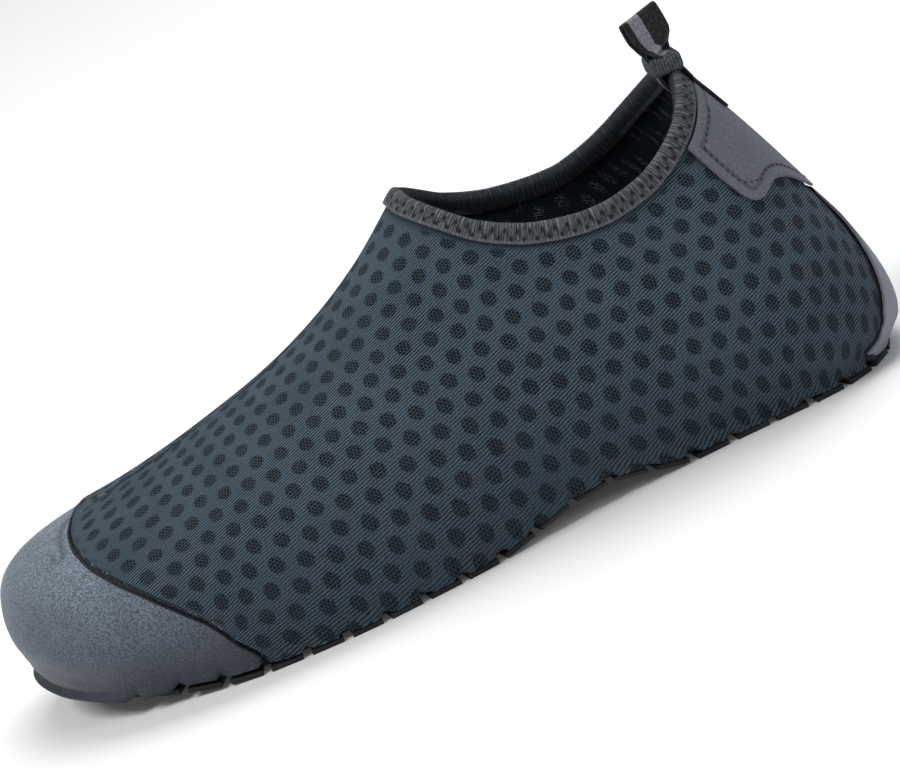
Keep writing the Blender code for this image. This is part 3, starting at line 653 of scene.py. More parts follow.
def grey_elastic():
    """Heathered knitted elastic, ribbed across, pulled in by the zigzag, with painted shade on its inner face
    where it folds in.
    """
    finish = Finish("grey_elastic", (0.155, 0.15, 0.158), 0.9)
    cloth = finish.cloth()
    heather = finish.noise(finish.vector("MULTIPLY", cloth, (1.0, 0.45, 1.0)), 1000, 3.0, 0.65)
    along, depth = finish.axis(cloth, "X"), finish.axis(cloth, "Y")
    turns = finish.math("FRACT", finish.math("DIVIDE", along, ZIGZAG_PITCH))
    slope = finish.math("ABSOLUTE", finish.math("SUBTRACT", turns, 0.5))
    line = finish.between(finish.math("MULTIPLY", slope, 2.0), ZIGZAG_TOP, ZIGZAG_FOOT)
    away = finish.math("ABSOLUTE", finish.math("SUBTRACT", depth, line))
    groove = finish.fall(away, 0.05 * MM, 0.95 * MM)
    slant = finish.math("MULTIPLY", finish.math("SUBTRACT", slope, 0.25), 1.1 * MM)
    lean = finish.add("ShaderNodeCombineXYZ")
    finish.put(lean.inputs[0], slant)
    rib = finish.wave(finish.vector("ADD", finish.wobbled(cloth, 480, 0.4 * MM), lean.outputs[0]),
                      math.radians(90), 0.84 * MM)
    colour = finish.mix(finish.rise(heather, 0.3, 0.7), (0.040, 0.046, 0.054), (0.162, 0.176, 0.196))
    colour = finish.tint(colour, finish.fall(rib, 0.1, 0.75), 0.7, (0.014, 0.016, 0.020))
    colour = finish.tint(colour, groove, 0.45, (0.022, 0.025, 0.030))
    low_holes = finish.vector("LENGTH", finish.hole_offset(turns, depth, 0.5, ZIGZAG_TOP))
    high_holes = finish.vector("LENGTH", finish.hole_offset(turns, depth, 0.0, ZIGZAG_FOOT))
    wrapped = finish.vector("LENGTH", finish.hole_offset(turns, depth, 1.0, ZIGZAG_FOOT))
    nearest = finish.math("MINIMUM", low_holes, finish.math("MINIMUM", high_holes, wrapped))
    hole = finish.fall(nearest, 0.25 * MM, 0.7 * MM)
    colour = finish.tint(colour, hole, 0.85, (0.006, 0.007, 0.009))
    lip = finish.rise(depth, ZIGZAG_FOOT + 0.35 * MM, ZIGZAG_FOOT + 0.75 * MM)
    colour = finish.tint(colour, lip, 0.55, (0.130, 0.135, 0.150))
    # Painted shade on the inner face, where the binding folds into the shoe.
    painted_inner_shade = finish.fall(depth, -1.3 * MM, 0.6 * MM)
    colour = finish.tint(colour, painted_inner_shade, 0.8, (0.011, 0.015, 0.020))
    height = finish.math("SUBTRACT", rib, finish.math("MULTIPLY", groove, 1.2))
    height = finish.math("SUBTRACT", height, finish.math("MULTIPLY", hole, 2.0))
    return finish.surface(colour, finish.bump(height, 0.28 * MM))


def loop_fold_cloth():
    """The binding's elastic again, laid over the loop's foot: heathered, ribbed across, with no zigzag."""
    finish = Finish("fold_elastic", (0.10, 0.11, 0.125), 0.9)
    place = finish.place()
    heather = finish.noise(place, 1300, 3.0, 0.65)
    rib = finish.wave(finish.wobbled(place, 480, 0.4 * MM), math.radians(62), 0.84 * MM)
    colour = finish.mix(finish.rise(heather, 0.3, 0.7), (0.030, 0.035, 0.042), (0.130, 0.142, 0.160))
    colour = finish.tint(colour, finish.fall(rib, 0.1, 0.75), 0.6, (0.014, 0.016, 0.020))
    return finish.surface(colour, finish.bump(rib, 0.28 * MM))


def striped_ribbon():
    """Black ribbon with a grey stripe down its middle, woven across."""
    finish = Finish("striped_ribbon", (0.2, 0.2, 0.235), 0.8)
    place = finish.place()
    across = finish.layer("across")
    stripe = finish.fall(finish.math("ABSOLUTE", finish.math("SUBTRACT", across, 0.40)), 0.30, 0.34)
    fine = finish.noise(place, 1400, 2.0, 0.6)
    grey = finish.mix(finish.rise(fine, 0.3, 0.7), (0.15, 0.15, 0.18), (0.26, 0.26, 0.30))
    black = finish.mix(finish.rise(fine, 0.35, 0.75), (0.004, 0.005, 0.006), (0.030, 0.034, 0.036))
    return finish.surface(finish.mix(stripe, black, grey), finish.bump(fine, 0.18 * MM))


def black_rubber():
    finish = Finish("black_rubber", (0.012, 0.012, 0.014), 0.55)
    place = finish.place()
    fine = finish.noise(place, 900, 3.0)
    broad = finish.noise(place, 70, 2.0)
    colour = finish.mix(finish.rise(broad, 0.35, 0.7), (0.008, 0.008, 0.010), (0.020, 0.021, 0.024))
    roughness = finish.between(fine, 0.45, 0.7)
    return finish.surface(colour, finish.bump(fine, 0.05 * MM), roughness)


def sock_foam():
    finish = Finish("sock_foam", (0.02, 0.024, 0.034), 0.95)
    place = finish.place()
    fine = finish.noise(place, 1200, 2.0)
    colour = finish.mix(finish.rise(fine, 0.3, 0.7), (0.010, 0.013, 0.018), (0.030, 0.036, 0.048))
    return finish.surface(colour, finish.bump(fine, 0.15 * MM))


def thread_finish(name, dark, pale):
    """Sewing thread or piping of one colour, with a twisted grain."""
    finish = Finish(name, pale, 0.7)
    grain = finish.noise(finish.place(), 1800, 1.0)
    colour = finish.mix(finish.rise(grain, 0.35, 0.65), dark, pale)
    return finish.surface(colour, finish.bump(grain, 0.1 * MM))


def floor_finish():
    finish = Finish("pale_floor", (0.9, 0.9, 0.9), 0.8)
    grain = finish.noise(finish.place(), 3, 2.0)
    finish.shader.inputs["Emission Color"].default_value = (1, 1, 1, 1)
    finish.shader.inputs["Emission Strength"].default_value = 0.03
    return finish.surface(finish.mix(grain, (0.86, 0.865, 0.875), (0.875, 0.88, 0.89)))


class Skin:
    """The upper's outward face: which faces of its mesh they are, and the lines where they end."""

    def __init__(self, piece):
        work = bmesh.new()
        work.from_mesh(piece.data)
        work.faces.ensure_lookup_table()
        work.verts.ensure_lookup_table()
        beside = [face for face in work.faces if abs(face.calc_center_median().x) < 20 * MM]
        start = min(beside, key=lambda face: face.calc_center_median().y)
        self.faces = spread_from(work, start, SHARP)
        self.corners = np.array([vertex.co for vertex in work.verts])
        rings = sorted(border_rings(work, self.faces), key=len)
        self.rings = [self.corners[ring] for ring in rings]
        work.free()
        heights = [ring[:, 2].mean() for ring in self.rings]
        collar = self.rings[int(np.argmax(heights))]
        start = int(np.argmax(collar[:, 0]))
        self.collar = resampled(np.roll(collar, -start, axis=0), 0.5 * MM, True)


def lay_cloth_flat(piece, skin):
    """Gives the upper's mesh the map of its cloth laid flat, in metres, level on its outer side."""
    mesh = piece.data
    layer = mesh.uv_layers.new(name="cloth")
    mesh.uv_layers.active = layer
    back = skin.collar[0][1]
    for edge in mesh.edges:
        ends = [mesh.vertices[i].co for i in edge.vertices]
        edge.use_seam = all(abs(end.y - back) < 0.1 * MM and end.x > 60 * MM for end in ends)
    chosen = [face.index in skin.faces and face.normal.z > -0.75 for face in mesh.polygons]
    mesh.polygons.foreach_set("select", chosen)
    choose(piece)
    bpy.context.tool_settings.mesh_select_mode = (False, False, True)
    bpy.ops.object.mode_set(mode="EDIT")
    bpy.ops.uv.unwrap(method="MINIMUM_STRETCH", margin=0)
    bpy.ops.object.mode_set(mode="OBJECT")
    layer = mesh.uv_layers["cloth"]
    flat = np.zeros(len(mesh.loops) * 2)
    layer.data.foreach_get("uv", flat)
    flat = flat.reshape(-1, 2) @ np.array([1, 1j])
    near = {}
    outer, level = [], []
    for face, taken in zip(mesh.polygons, chosen):
        for i in face.loop_indices:
            corner = mesh.vertices[mesh.loops[i].vertex_index]
            if taken:
                near[corner.index] = flat[i]
                if face.normal.y < -0.9 and abs(face.center.x - 10 * MM) < 50 * MM:
                    outer.append(flat[i])
                    level.append(complex(corner.co.x, corner.co.z))
    outer, level = np.array(outer), np.array(level)
    middle, target = outer.mean(), level.mean()
    spin = np.vdot(outer - middle, level - target) / np.vdot(outer - middle, outer - middle)
    tree = KDTree(len(near))
    for i in near:
        tree.insert(mesh.vertices[i].co, i)
    tree.balance()
    for face, taken in zip(mesh.polygons, chosen):
        if not taken:
            for i in face.loop_indices:
                corner = mesh.vertices[mesh.loops[i].vertex_index]
                flat[i] = near[tree.find(corner.co)[1]]
    flat = (flat - middle) * spin + target
    layer.data.foreach_set("uv", np.stack([flat.real, flat.imag], -1).ravel())


def pull_knit(piece, skin):
    """Gives the mesh the knit's own map, in metres as it was made; the inner side mirrors the outer."""
    mesh = piece.data
    cloth = np.zeros(len(mesh.loops) * 2)
    mesh.uv_layers["cloth"].data.foreach_get("uv", cloth)
    along, up = ((cloth.reshape(-1, 2) - PULL_MIDDLE) / PULL_REACH).T
    counts = sum(np.outer(along ** i * up ** j, (first, second)) for i, j, first, second in PULL_TERMS)
    corners = np.zeros(len(mesh.loops), dtype=int)
    mesh.loops.foreach_get("vertex_index", corners)
    places = np.zeros(len(mesh.vertices) * 3)
    mesh.vertices.foreach_get("co", places)
    places = places.reshape(-1, 3)
    middle = middle_line(places[corners][:, 0], skin)
    side = places[corners][:, 1] - middle
    outer = np.where(side < 0)[0][::2]
    tree = near_tree(places[corners[outer]])
    ridge = np.where(np.abs(side) < RIDGE_WIDTH)[0]
    ridge = ridge[places[corners[ridge]][:, 2] > RIDGE_BASE]
    order = ridge[np.argsort(counts[ridge].sum(axis=1))]
    over_ridge = np.polyfit(counts[order].sum(axis=1), counts[order] @ (1, -1), 3)
    low, high = counts[order].sum(axis=1)[[0, -1]]
    found = {}
    for i in np.where(side >= 0)[0]:
        number = corners[i]
        if number not in found:
            x, y, z = places[number]
            near = tree.find_n((x, 2 * middle[i] - y, z), 4)
            weights = np.array([1 / (distance + 0.3 * MM) ** 2 for _, _, distance in near])
            first, second = weights @ counts[[outer[j] for _, j, _ in near]] / weights.sum()
            across = 2 * np.polyval(over_ridge, np.clip(first + second, low, high)) - (first - second)
            found[number] = ((first + second + across) / 2, (first + second - across) / 2)
        counts[i] = found[number]
    layer = mesh.uv_layers.new(name="knit")
    layer.data.foreach_set("uv", (counts @ np.array([DOT_UP, DOT_DOWN])).ravel())


def middle_line(x, skin):
    """The y of the line that parts the shoe's outer side from its inner, at a distance along it."""
    tops = skin.corners[skin.corners[:, 2] > RIDGE_BASE]
    back = skin.collar[0][1]
    front = skin.collar[:, 0].min()
    ridge = []
    for place in np.arange(tops[:, 0].min() + 4 * MM, front, 5 * MM):
        near = tops[np.abs(tops[:, 0] - place) < 4 * MM]
        ridge.append((place, near[np.argmax(near[:, 2]), 1]))
    ridge = np.array(ridge)
    slope = np.polyfit(ridge[:, 0], ridge[:, 1], 1)
    share = np.clip((x - front) / RIDGE_FADE, 0, 1)
    return np.polyval(slope, np.minimum(x, front)) * (1 - share) + back * share


def ways_to_toe(seam):
    """At each point of the toe seam, the direction along the surface to the toe."""
    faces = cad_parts["toe_cap"].data.polygons
    centres = np.array([face.center for face in faces])
    facing = np.array([face.normal for face in faces])
    ways = []
    for point in seam:
        outward = np.array([-0.3, point[1] / (40 * MM), (point[2] - 15 * MM) / (30 * MM)])
        outward /= np.linalg.norm(outward)
        near = (np.linalg.norm(centres - point, axis=1) < SEAM_SPREAD) & (facing @ outward > 0.5)
        normal = facing[near].mean(axis=0) if near.any() else outward
        normal = normal / np.linalg.norm(normal)
        ways.append(np.array([-1.0, 0, 0]) + normal * normal[0])
    rows = np.arange(len(seam))
    ways = np.array([np.mean(np.array(ways)[np.abs(rows - i) < SEAM_ROWS], axis=0) for i in rows])
    return ways / np.linalg.norm(ways, axis=1)[:, None]


def lean_over_sole(piece, sole_tree, front, drop):
    """Fills the cloth's low margin out to the sole's edge, but not ahead of a place along the shoe."""
    for vertex in piece.data.vertices:
        point = vertex.co
        near, _, _, distance = sole_tree.find_nearest(point)
        if distance > MARGIN_REACH or point.x < front:
            continue
        middle = Vector((min(max(point.x, -MARGIN_TURN), MARGIN_TURN), 0, 0))
        way = Vector((point.x - middle.x, point.y, 0))
        if way.length < 1 * MM:
            continue
        way.normalize()
        gap = sole_tree.ray_cast(Vector((point.x, point.y, near.z - 0.35 * MM)), way, 12 * MM)[3]
        if gap is None or gap > MARGIN_GAP:
            continue
        fade = (1 - (distance / MARGIN_REACH) ** 2) ** 2 * min((MARGIN_GAP - gap) / (2 * MM), 1)
        fade *= min((point.x - front) / (5 * MM), 1)
        vertex.co = point + way * gap * fade + Vector((0, 0, -drop * fade))
    piece.data.update()


def roll_toe_out(cap, sole_tree):
    """Fills the cap out at the toe and rolls its low margin over the rubber."""
    for vertex in cap.data.vertices:
        point = vertex.co
        distance = sole_tree.find_nearest(point)[3]
        toe = min(max((TOE_ROLL_START - point.x) / TOE_ROLL_RAMP, 0), 1)
        if distance > TOE_ROLL_REACH or toe == 0:
            continue
        way = Vector((point.x + MARGIN_TURN, point.y, 0)).normalized()
        swell = (1 - (distance / TOE_ROLL_REACH) ** 2) ** 2 * toe
        dip = max(1 - (distance / TOE_RIM_REACH) ** 2, 0) * toe
        vertex.co = point + way * TOE_ROLL_OUT * swell + Vector((0, 0, -TOE_ROLL_DOWN * dip))
    cap.data.update()


def widen_strip(points, upper_tree, middle):
    """Spreads the back strip round the heel, and runs its ends under the patch and to the sole."""
    points = np.asarray(points)
    bottom, top = points[:, 2].min(), points[:, 2].max()
    moved = []
    for point in points:
        place, normal, _, _ = upper_tree.find_nearest(point)
        lift = (Vector(point) - place).dot(normal)
        spread = np.interp(point[2] / MM, STRIP_HEIGHTS, STRIP_SPREADS)
        under_patch = min(max((point[2] - top) / STRIP_TOP_REACH + 1, 0), 1)
        to_sole = min(max((bottom - point[2]) / STRIP_FOOT_REACH + 1, 0), 1)
        side = (point[1] - middle) * spread
        back = point[0] - STRIP_WRAP * abs(side) * (1 - 1 / spread)
        height = point[2] + STRIP_RAISE * under_patch - STRIP_DROP * to_sole
        place, normal, _, _ = upper_tree.find_nearest(Vector((back, middle + side, height)))
        moved.append(np.array(place + normal * lift * (1 - STRIP_TUCK * under_patch)))
    return np.array(moved)


def pull_seam(points, seam, ways):
    """Moves points near the toe seam along the surface, so that the seam dips as in the photo."""
    tree = near_tree(seam)
    shares, amounts = np.array(SEAM_PULL).T
    moved = []
    for point in points:
        _, near, distance = tree.find(point)
        fade = max(1 - (distance / SEAM_PULL_REACH) ** 2, 0) ** 2
        amount = np.interp(near / (len(seam) - 1), shares, amounts) * MM
        moved.append(np.array(point) + ways[near] * amount * fade)
    return np.array(moved)


def pull_piece(piece, seam, ways):
    moved = pull_seam([vertex.co for vertex in piece.data.vertices], seam, ways)
    piece.data.vertices.foreach_set("co", moved.ravel())
    piece.data.update()


def make_upper(seam, ways):
    """The knitted body: subdivided, with soft creases, its two faces in their own cloths."""
    piece = copy_of("upper", "mesh_upper")
    skin = Skin(piece)
    lay_cloth_flat(piece, skin)
    mesh = piece.data
    mesh.materials.append(slate_mesh())
    mesh.materials.append(dark_lining())
    cloths = [0 if i in skin.faces else 1 for i in range(len(mesh.polygons))]
    mesh.polygons.foreach_set("material_index", cloths)
    smooth(piece, 2, 0.9)
    pull_knit(piece, skin)
    sole = np.concatenate([ring for ring in skin.rings if ring[:, 2].max() < 40 * MM] or [skin.rings[0]])
    store_distance(piece, "above_sole", sole)
    store_distance(piece, "behind_cap", seam)
    store_distance(piece, "below_collar", skin.collar)
    pull_piece(piece, seam, ways)
    finish_piece(piece, "slate_mesh", "upper")
    return piece, skin


def panel_border(node, skin_tree):
    """The outward face's border ring of a panel on the upper."""
    piece = copy_of(node, "border_of_" + node)
    work = bmesh.new()
    work.from_mesh(piece.data)
    outward = set()
    for face in work.faces:
        _, normal, _, _ = skin_tree.find_nearest(face.calc_center_median())
        if face.normal @ normal > 0.7:
            outward.add(face.index)
    corners = np.array([vertex.co for vertex in work.verts])
    rings = border_rings(work, outward)
    work.free()
    bpy.data.objects.remove(piece)
    return corners[max(rings, key=len)]


def seam_line():
    """The line over the vamp where the toe cap meets the mesh, from the outer side to the inner."""
    ring = panel_border("toe_cap", tree_of(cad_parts["upper"]))
    ends = [ring[ring[:, 1] < 0][:, 0].argmax(), ring[ring[:, 1] > 0][:, 0].argmax()]
    first = int(np.where(ring[:, 1] < 0)[0][ends[0]])
    second = int(np.where(ring[:, 1] > 0)[0][ends[1]])
    turned = np.roll(ring, -first, axis=0)
    split = (second - first) % len(ring)
    one, other = turned[:split + 1], np.concatenate([turned[split:], turned[:1]])[::-1]
    line = one if one[:, 2].mean() > other[:, 2].mean() else other
    return resampled(line, 0.6 * MM, False)


def make_panel(node, name, finish, slot, levels, tree, stitch_inset, crease=0.6):
    """A panel's own piece, finer than its solid, that knows how far each point lies from its edge."""
    border = resampled(panel_border(node, tree), 0.5 * MM, True)
    piece = copy_of(node, name)
    piece.data.materials.append(finish)
    smooth(piece, levels, crease)
    store_distance(piece, "from_edge", border)
    inset = piece.data.attributes.new("stitch_inset", "FLOAT", "POINT")
    inset.data.foreach_set("value", np.full(len(piece.data.vertices), stitch_inset))
    finish_piece(piece, slot, node)
    return piece, border


def lay_cord(name, tree, seam, sizes, towards, finish):
    """A cord beside the toe seam, by its distance from it, its lift and its radius."""
    inset, lift, radius = sizes
    line, normals = inset_line(tree, seam, False, inset, lift, towards)
    finish_piece(tube(name, line, False, radius, finish), "slate_mesh")
    return line, normals


def make_toe_seam(upper_tree, cap_tree, seam):
    """The black cord of painted shade in the trench between cap and mesh, the ridge behind it, and the pale
    flecks of its stitches.
    """
    behind = seam.mean(axis=0) + np.array([FAR_BEHIND, 0, 0])
    black = thread_finish("seam_black", (0.002, 0.002, 0.003), (0.010, 0.011, 0.013))
    roll = thread_finish("seam_roll", (0.010, 0.014, 0.020), (0.060, 0.072, 0.088))
    # A black cord of painted shade, laid in the trench on the cap's side of the seam
    lay_cord("toe_trench_shade", cap_tree, seam, TOE_TRENCH_SHADE, seam.mean(axis=0) - behind, black)
    ridge, normals = lay_cord("toe_ridge", upper_tree, seam, TOE_RIDGE, behind, roll)
    lay_cord("toe_rear_line", upper_tree, seam, TOE_REAR_LINE, behind, black)
    pale = thread_finish("pale_thread", (0.07, 0.08, 0.095), (0.24, 0.26, 0.29))
    line, normals = ridge[::3], normals[::3]
    raised = line + normals * TOE_THREAD_LIFT
    piece = stitches("toe_stitches", raised, tangents(line, False), normals, *TOE_THREAD, pale)
    finish_piece(piece, "slate_mesh")
    return black


def outward_of(line):
    """Level unit directions from a ring's middle out to its points."""
    outward = line - line.mean(axis=0)
    outward[:, 2] = 0
    return outward / np.linalg.norm(outward, axis=1)[:, None]


def make_binding(skin):
    """The collar's elastic, with its cloth map: metres round the collar and down from the fold."""
    piece = copy_of("collar_binding", "collar_elastic")
    piece.data.materials.append(grey_elastic())
    smooth(piece, 2, 0.35)
    mesh = piece.data
    line = skin.collar
    ahead = tangents(line, True)
    outward = outward_of(line)
    tree = near_tree(line)
    step = np.linalg.norm(line[1] - line[0])
    along, depth = [], []
    for vertex in mesh.vertices:
        near = tree.find(vertex.co)[1]
        offset = np.array(vertex.co) - line[near]
        along.append(near * step + offset @ ahead[near])
        away = np.linalg.norm(offset - ahead[near] * (offset @ ahead[near]))
        depth.append(away if offset @ outward[near] > -1.1 * MM else -away)
    length = step * len(line)
    layer = mesh.uv_layers.new(name="cloth")
    values = np.zeros((len(mesh.loops), 2))
    for face in mesh.polygons:
        for i in face.loop_indices:
            number = mesh.loops[i].vertex_index
            values[i] = along[number], depth[number]
        span = values[list(face.loop_indices), 0]
        if span.max() - span.min() > length / 2:
            for i in face.loop_indices:
                values[i, 0] += length if values[i, 0] < length / 2 else 0
    layer.data.foreach_set("uv", values.ravel())
    finish_piece(piece, "grey_elastic", "collar_binding")
    return piece


def make_zigzag(skin, tree):
    """The zigzag thread that holds the binding, sunk in the elastic."""
    line = skin.collar
    count = int(round(len(line) * np.linalg.norm(line[1] - line[0]) / ZIGZAG_PITCH)) * 2
    points = []
    ahead = tangents(line, True)
    outward = outward_of(line)
    down = np.cross(outward, ahead)
    down *= -np.sign(down[:, 2:3])
    for i in range(count):
        near = int(i * len(line) / count)
        depth = ZIGZAG_TOP if i % 2 else ZIGZAG_FOOT
        points.append(line[near] + down[near] * depth + outward[near] * BINDING_LIFT)
    places, normals = settle(tree, points, 0)
    after = np.roll(places, -1, axis=0)
    ways = after - places
    lengths = np.linalg.norm(ways, axis=1)
    grey = thread_finish("grey_thread", (0.05, 0.05, 0.055), (0.16, 0.158, 0.165))
    middles = (places + after) / 2 + normals * 0.08 * MM
    length = float(np.median(lengths)) * 0.92
    piece = stitches("binding_zigzag", middles, ways / lengths[:, None], normals, length, ZIGZAG_RADIUS, grey)
    finish_piece(piece, "grey_elastic")


def make_patch_stitches(patch, border, skin, thread):
    """Short dark stitches along the patch's groove, but not under the binding."""
    tree = tree_of(patch)
    line, _ = inset_line(tree, border, True, PATCH_STITCH_INSET, 0, border.mean(axis=0))
    edge = near_tree(border)
    line = np.array([point for point in line if edge.find(point)[2] > PATCH_STITCH_INSET - 0.3 * MM])
    near = near_tree(skin.collar)
    kept = np.array([near.find(point)[2] > BINDING_DEPTH + 3 * MM for point in line])
    start = int(np.argmin(kept))
    line, kept = np.roll(line, -start, axis=0), np.roll(kept, -start)
    line = resampled(line[kept], PATCH_STITCH_PITCH, False)
    places, normals = settle(tree, line, 0.02 * MM)
    piece = stitches("patch_stitches", places, tangents(places, False), normals, *PATCH_THREAD, thread)
    finish_piece(piece, "grey_cloth")


def make_strip_seams(border, upper_tree, black):
    """The black seams where the strip up the back meets the mesh on each side."""
    middle = border[:, 1].mean()
    for name, side in (("strip_seam_outer", -1), ("strip_seam_inner", 1)):
        half = border[(border[:, 1] - middle) * side > 3 * MM]
        half = half[np.argsort(half[:, 2])]
        line, _ = settle(upper_tree, half[2:-2], 0.1 * MM)
        line = resampled(line[::4], 0.8 * MM, False)
        finish_piece(tube(name, line, False, STRIP_SEAM_RADIUS, black), "slate_mesh")


def make_loop(heel_tree):
    """The pull loop, with each point's place across the ribbon for its stripes."""
    piece = copy_of("pull_loop", "ribbon_loop")
    mesh = piece.data
    links = {vertex.index: [] for vertex in mesh.vertices}
    for edge in mesh.edges:
        a, b = edge.vertices
        if (mesh.vertices[a].co - mesh.vertices[b].co).length < 9 * MM:
            links[a].append(b)
            links[b].append(a)
    start = min(links, key=lambda i: mesh.vertices[i].co.y)
    found = {start}
    queue = [start]
    while queue:
        for other in links[queue.pop()]:
            if other not in found:
                found.add(other)
                queue.append(other)
    layer = mesh.attributes.new("across", "FLOAT", "POINT")
    layer.data.foreach_set("value", [1.0 if i in found else -1.0 for i in range(len(mesh.vertices))])
    mesh.materials.append(striped_ribbon())
    smooth(piece, 2, 1.0, math.radians(72))
    high = [vertex for vertex in mesh.vertices if vertex.co.z > LOOP_WAIST]
    middle = sum(vertex.co.x for vertex in high) / len(high)
    for vertex in high:
        open_up = min((vertex.co.z - LOOP_WAIST) / (4 * MM), 1)
        vertex.co.x = middle + (vertex.co.x - middle) * (1 + LOOP_OPENING * open_up)
        vertex.co.z = LOOP_WAIST + (vertex.co.z - LOOP_WAIST) * LOOP_STRETCH
    tail = [vertex for vertex in mesh.vertices if vertex.co.x > TAIL_FRONT and vertex.co.z < TAIL_TOP]
    found = [heel_tree.find_nearest(vertex.co) for vertex in tail]
    gap = np.percentile([near[3] for near in found], 10) - 0.02 * MM
    for vertex, near in zip(tail, found):
        fade = min(max((TAIL_TOP - vertex.co.z) / (5 * MM), 0), 1)
        vertex.co = vertex.co + (near[0] - vertex.co).normalized() * gap * fade
    mesh.update()
    finish_piece(piece, "striped_ribbon", "pull_loop")
    return piece


def make_fold(loop, skin):
    """The heathered fold of elastic that wraps the loop's foot on top of the binding."""
    top = skin.collar[0][2]
    foot = np.array([vertex.co for vertex in loop.data.vertices])
    foot = foot[(foot[:, 2] > top + FOLD_FOOT) & (foot[:, 2] < top + FOLD_TOP)]
    low, high = foot.min(axis=0), foot.max(axis=0)
    bpy.ops.mesh.primitive_cube_add(size=1, location=(low + high) / 2)
    piece = bpy.context.view_layer.objects.active
    piece.name = "binding_fold"
    piece.scale = high - low + np.array(FOLD_MARGIN)
    bpy.ops.object.transform_apply(location=True, rotation=True, scale=True)
    apply(piece, "BEVEL", width=1.3 * MM, segments=3, limit_method="NONE")
    apply(piece, "SUBSURF", levels=1, render_levels=1)
    piece.data.shade_smooth()
    piece.data.materials.append(loop_fold_cloth())
    finish_piece(piece, "grey_elastic")


def make_overlock(tree):
    """The white overlocked thread ends inside the back seam."""
    white = thread_finish("white_thread", (0.35, 0.36, 0.38), (0.80, 0.81, 0.83))
    places, ways, normals = [], [], []
    for i in range(OVERLOCK_COUNT):
        side = OVERLOCK_SIDE - OVERLOCK_SWAY * (i % 2)
        start = Vector((OVERLOCK_BACK, side, OVERLOCK_TOP - OVERLOCK_STEP * i))
        place, normal, _, _ = tree.find_nearest(start)
        lean = 0.55 if i % 2 else -0.35
        way = Vector((0.1 * lean, 1, lean)).normalized()
        way = (way - normal * normal.dot(way)).normalized()
        for drop in (0, 0.55 * MM):
            places.append(np.array(place + normal * 0.15 * MM + way.cross(normal) * drop))
            ways.append(np.array(way))
            normals.append(np.array(normal))
    piece = stitches("overlock_threads", places, ways, normals, *OVERLOCK_THREAD, white)
    finish_piece(piece, "slate_mesh")


def make_plain(node, name, finish, slot):
    piece = copy_of(node, name)
    piece.data.materials.append(finish)
    apply(piece, "BEVEL", width=0.35 * MM, segments=2, limit_method="ANGLE", angle_limit=math.radians(40))
    choose(piece)
    bpy.ops.object.shade_smooth_by_angle(angle=math.radians(35))
    finish_piece(piece, slot, node)


def make_floor():
    bpy.ops.mesh.primitive_plane_add(size=12)
    floor = bpy.context.view_layer.objects.active
    floor.name = "floor"
    floor.data.materials.append(floor_finish())


def make_lamp(name, place, size, power):
    """A square soft box aimed at the shoe."""
    light = bpy.data.lights.new(name, "AREA")
    light.size = size
    light.energy = power
    lamp = bpy.data.objects.new(name, light)
    bpy.context.collection.objects.link(lamp)
    lamp.location = place
    lamp.rotation_euler = (Vector((0, 0, 0.04)) - Vector(place)).to_track_quat("-Z", "Y").to_euler()


def make_light():
    world = bpy.data.worlds.new("studio")
    bpy.context.scene.world = world
    world.use_nodes = True
    background = world.node_tree.nodes["Background"]
    background.inputs["Color"].default_value = (0.97, 0.985, 1.0, 1)
    background.inputs["Strength"].default_value = 0.26
    make_lamp("key_lamp", (-1.1, -0.45, 1.35), 0.7, 18)
    make_lamp("top_lamp", (0.35, 0.6, 1.5), 1.1, 19)
    make_lamp("fill_lamp", (1.0, -1.0, 0.9), 0.8, 3)
    scene = bpy.context.scene
    scene.view_settings.view_transform = "Standard"


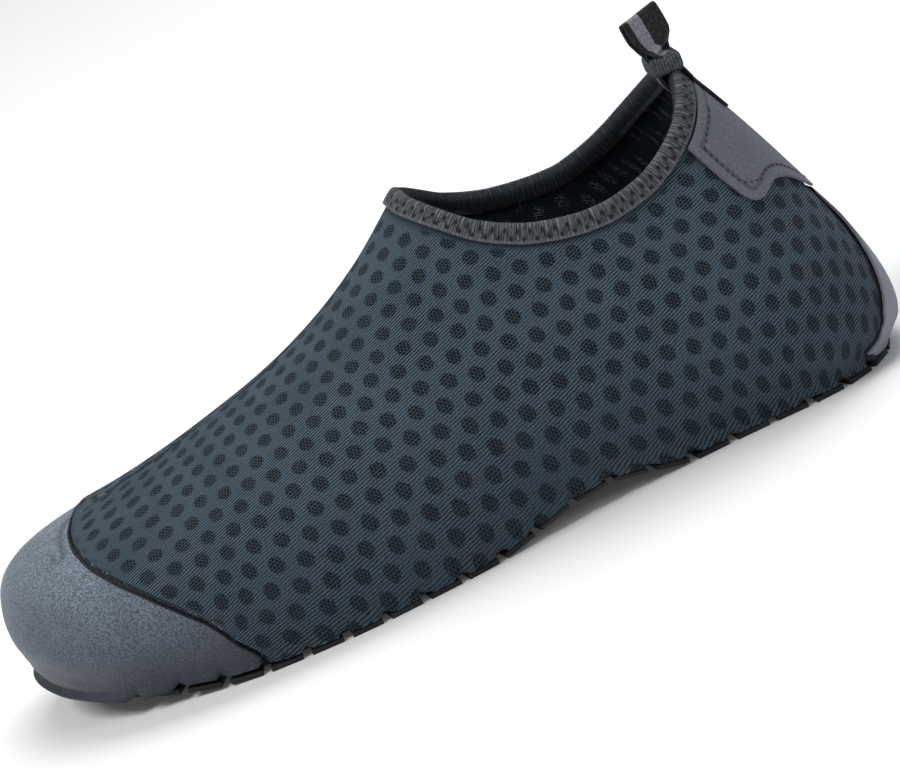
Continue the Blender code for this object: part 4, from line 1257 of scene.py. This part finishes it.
def make_camera():
    """The photo's camera: its angle to the shoe, rolled as the photo is."""
    turn, rise, roll = CAMERA_TURN, CAMERA_RISE, CAMERA_ROLL
    back = Vector((math.sin(turn) * math.cos(rise), -math.cos(turn) * math.cos(rise), math.sin(rise)))
    right = Vector((math.cos(turn), math.sin(turn), 0))
    up = back.cross(right)
    rolled_right = right * math.cos(roll) - up * math.sin(roll)
    rolled_up = right * math.sin(roll) + up * math.cos(roll)
    data = bpy.data.cameras.new("photo_camera")
    data.lens = CAMERA_LENS
    data.shift_x, data.shift_y = CAMERA_SHIFT
    data.clip_start = 0.05
    data.clip_end = 50
    camera = bpy.data.objects.new("photo_camera", data)
    bpy.context.collection.objects.link(camera)
    spin = Matrix((rolled_right, rolled_up, back)).transposed().to_4x4()
    camera.matrix_world = Matrix.Translation(Vector(CAMERA_POINT) + back * CAMERA_DISTANCE) @ spin
    bpy.context.scene.camera = camera


def main():
    make_camera()
    make_light()
    make_floor()
    seam = seam_line()
    ways = ways_to_toe(seam)
    upper, skin = make_upper(seam, ways)
    upper_tree = tree_of(upper)
    cloth = grey_cloth()
    cap, _ = make_panel("toe_cap", "napped_cap", grey_nap(), "grey_nap", 2, upper_tree, 1.0, 1.0)
    pull_piece(cap, seam, ways)
    sole_tree = tree_of(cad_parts["outsole"])
    lean_over_sole(cap, sole_tree, -200 * MM, 0.9 * MM)
    roll_toe_out(cap, sole_tree)
    lean_over_sole(upper, sole_tree, -77 * MM, 0.4 * MM)
    pulled = resampled(pull_seam(seam, seam, ways), 0.6 * MM, False)
    patch, patch_border = make_panel(
        "heel_patch", "heel_overlay", cloth, "grey_cloth", 3, upper_tree, PATCH_STITCH_INSET)
    strip, strip_border = make_panel(
        "heel_strip", "back_strip", cloth, "grey_cloth", 2, upper_tree, 1.0, 0.9)
    middle = strip_border[:, 1].mean()
    spread = widen_strip([vertex.co for vertex in strip.data.vertices], upper_tree, middle)
    strip.data.vertices.foreach_set("co", spread.ravel())
    strip.data.update()
    strip_border = widen_strip(strip_border, upper_tree, middle)
    black = make_toe_seam(upper_tree, tree_of(cap), pulled)
    binding = make_binding(skin)
    make_zigzag(skin, tree_of(binding))
    make_patch_stitches(patch, patch_border, skin, black)
    make_strip_seams(strip_border, upper_tree, black)
    loop = make_loop(tree_of(patch))
    make_fold(loop, skin)
    make_overlock(upper_tree)
    make_plain("outsole", "rubber_outsole", black_rubber(), "black_rubber")
    make_plain("insole", "sock_sheet", sock_foam(), "sock_foam")


main()
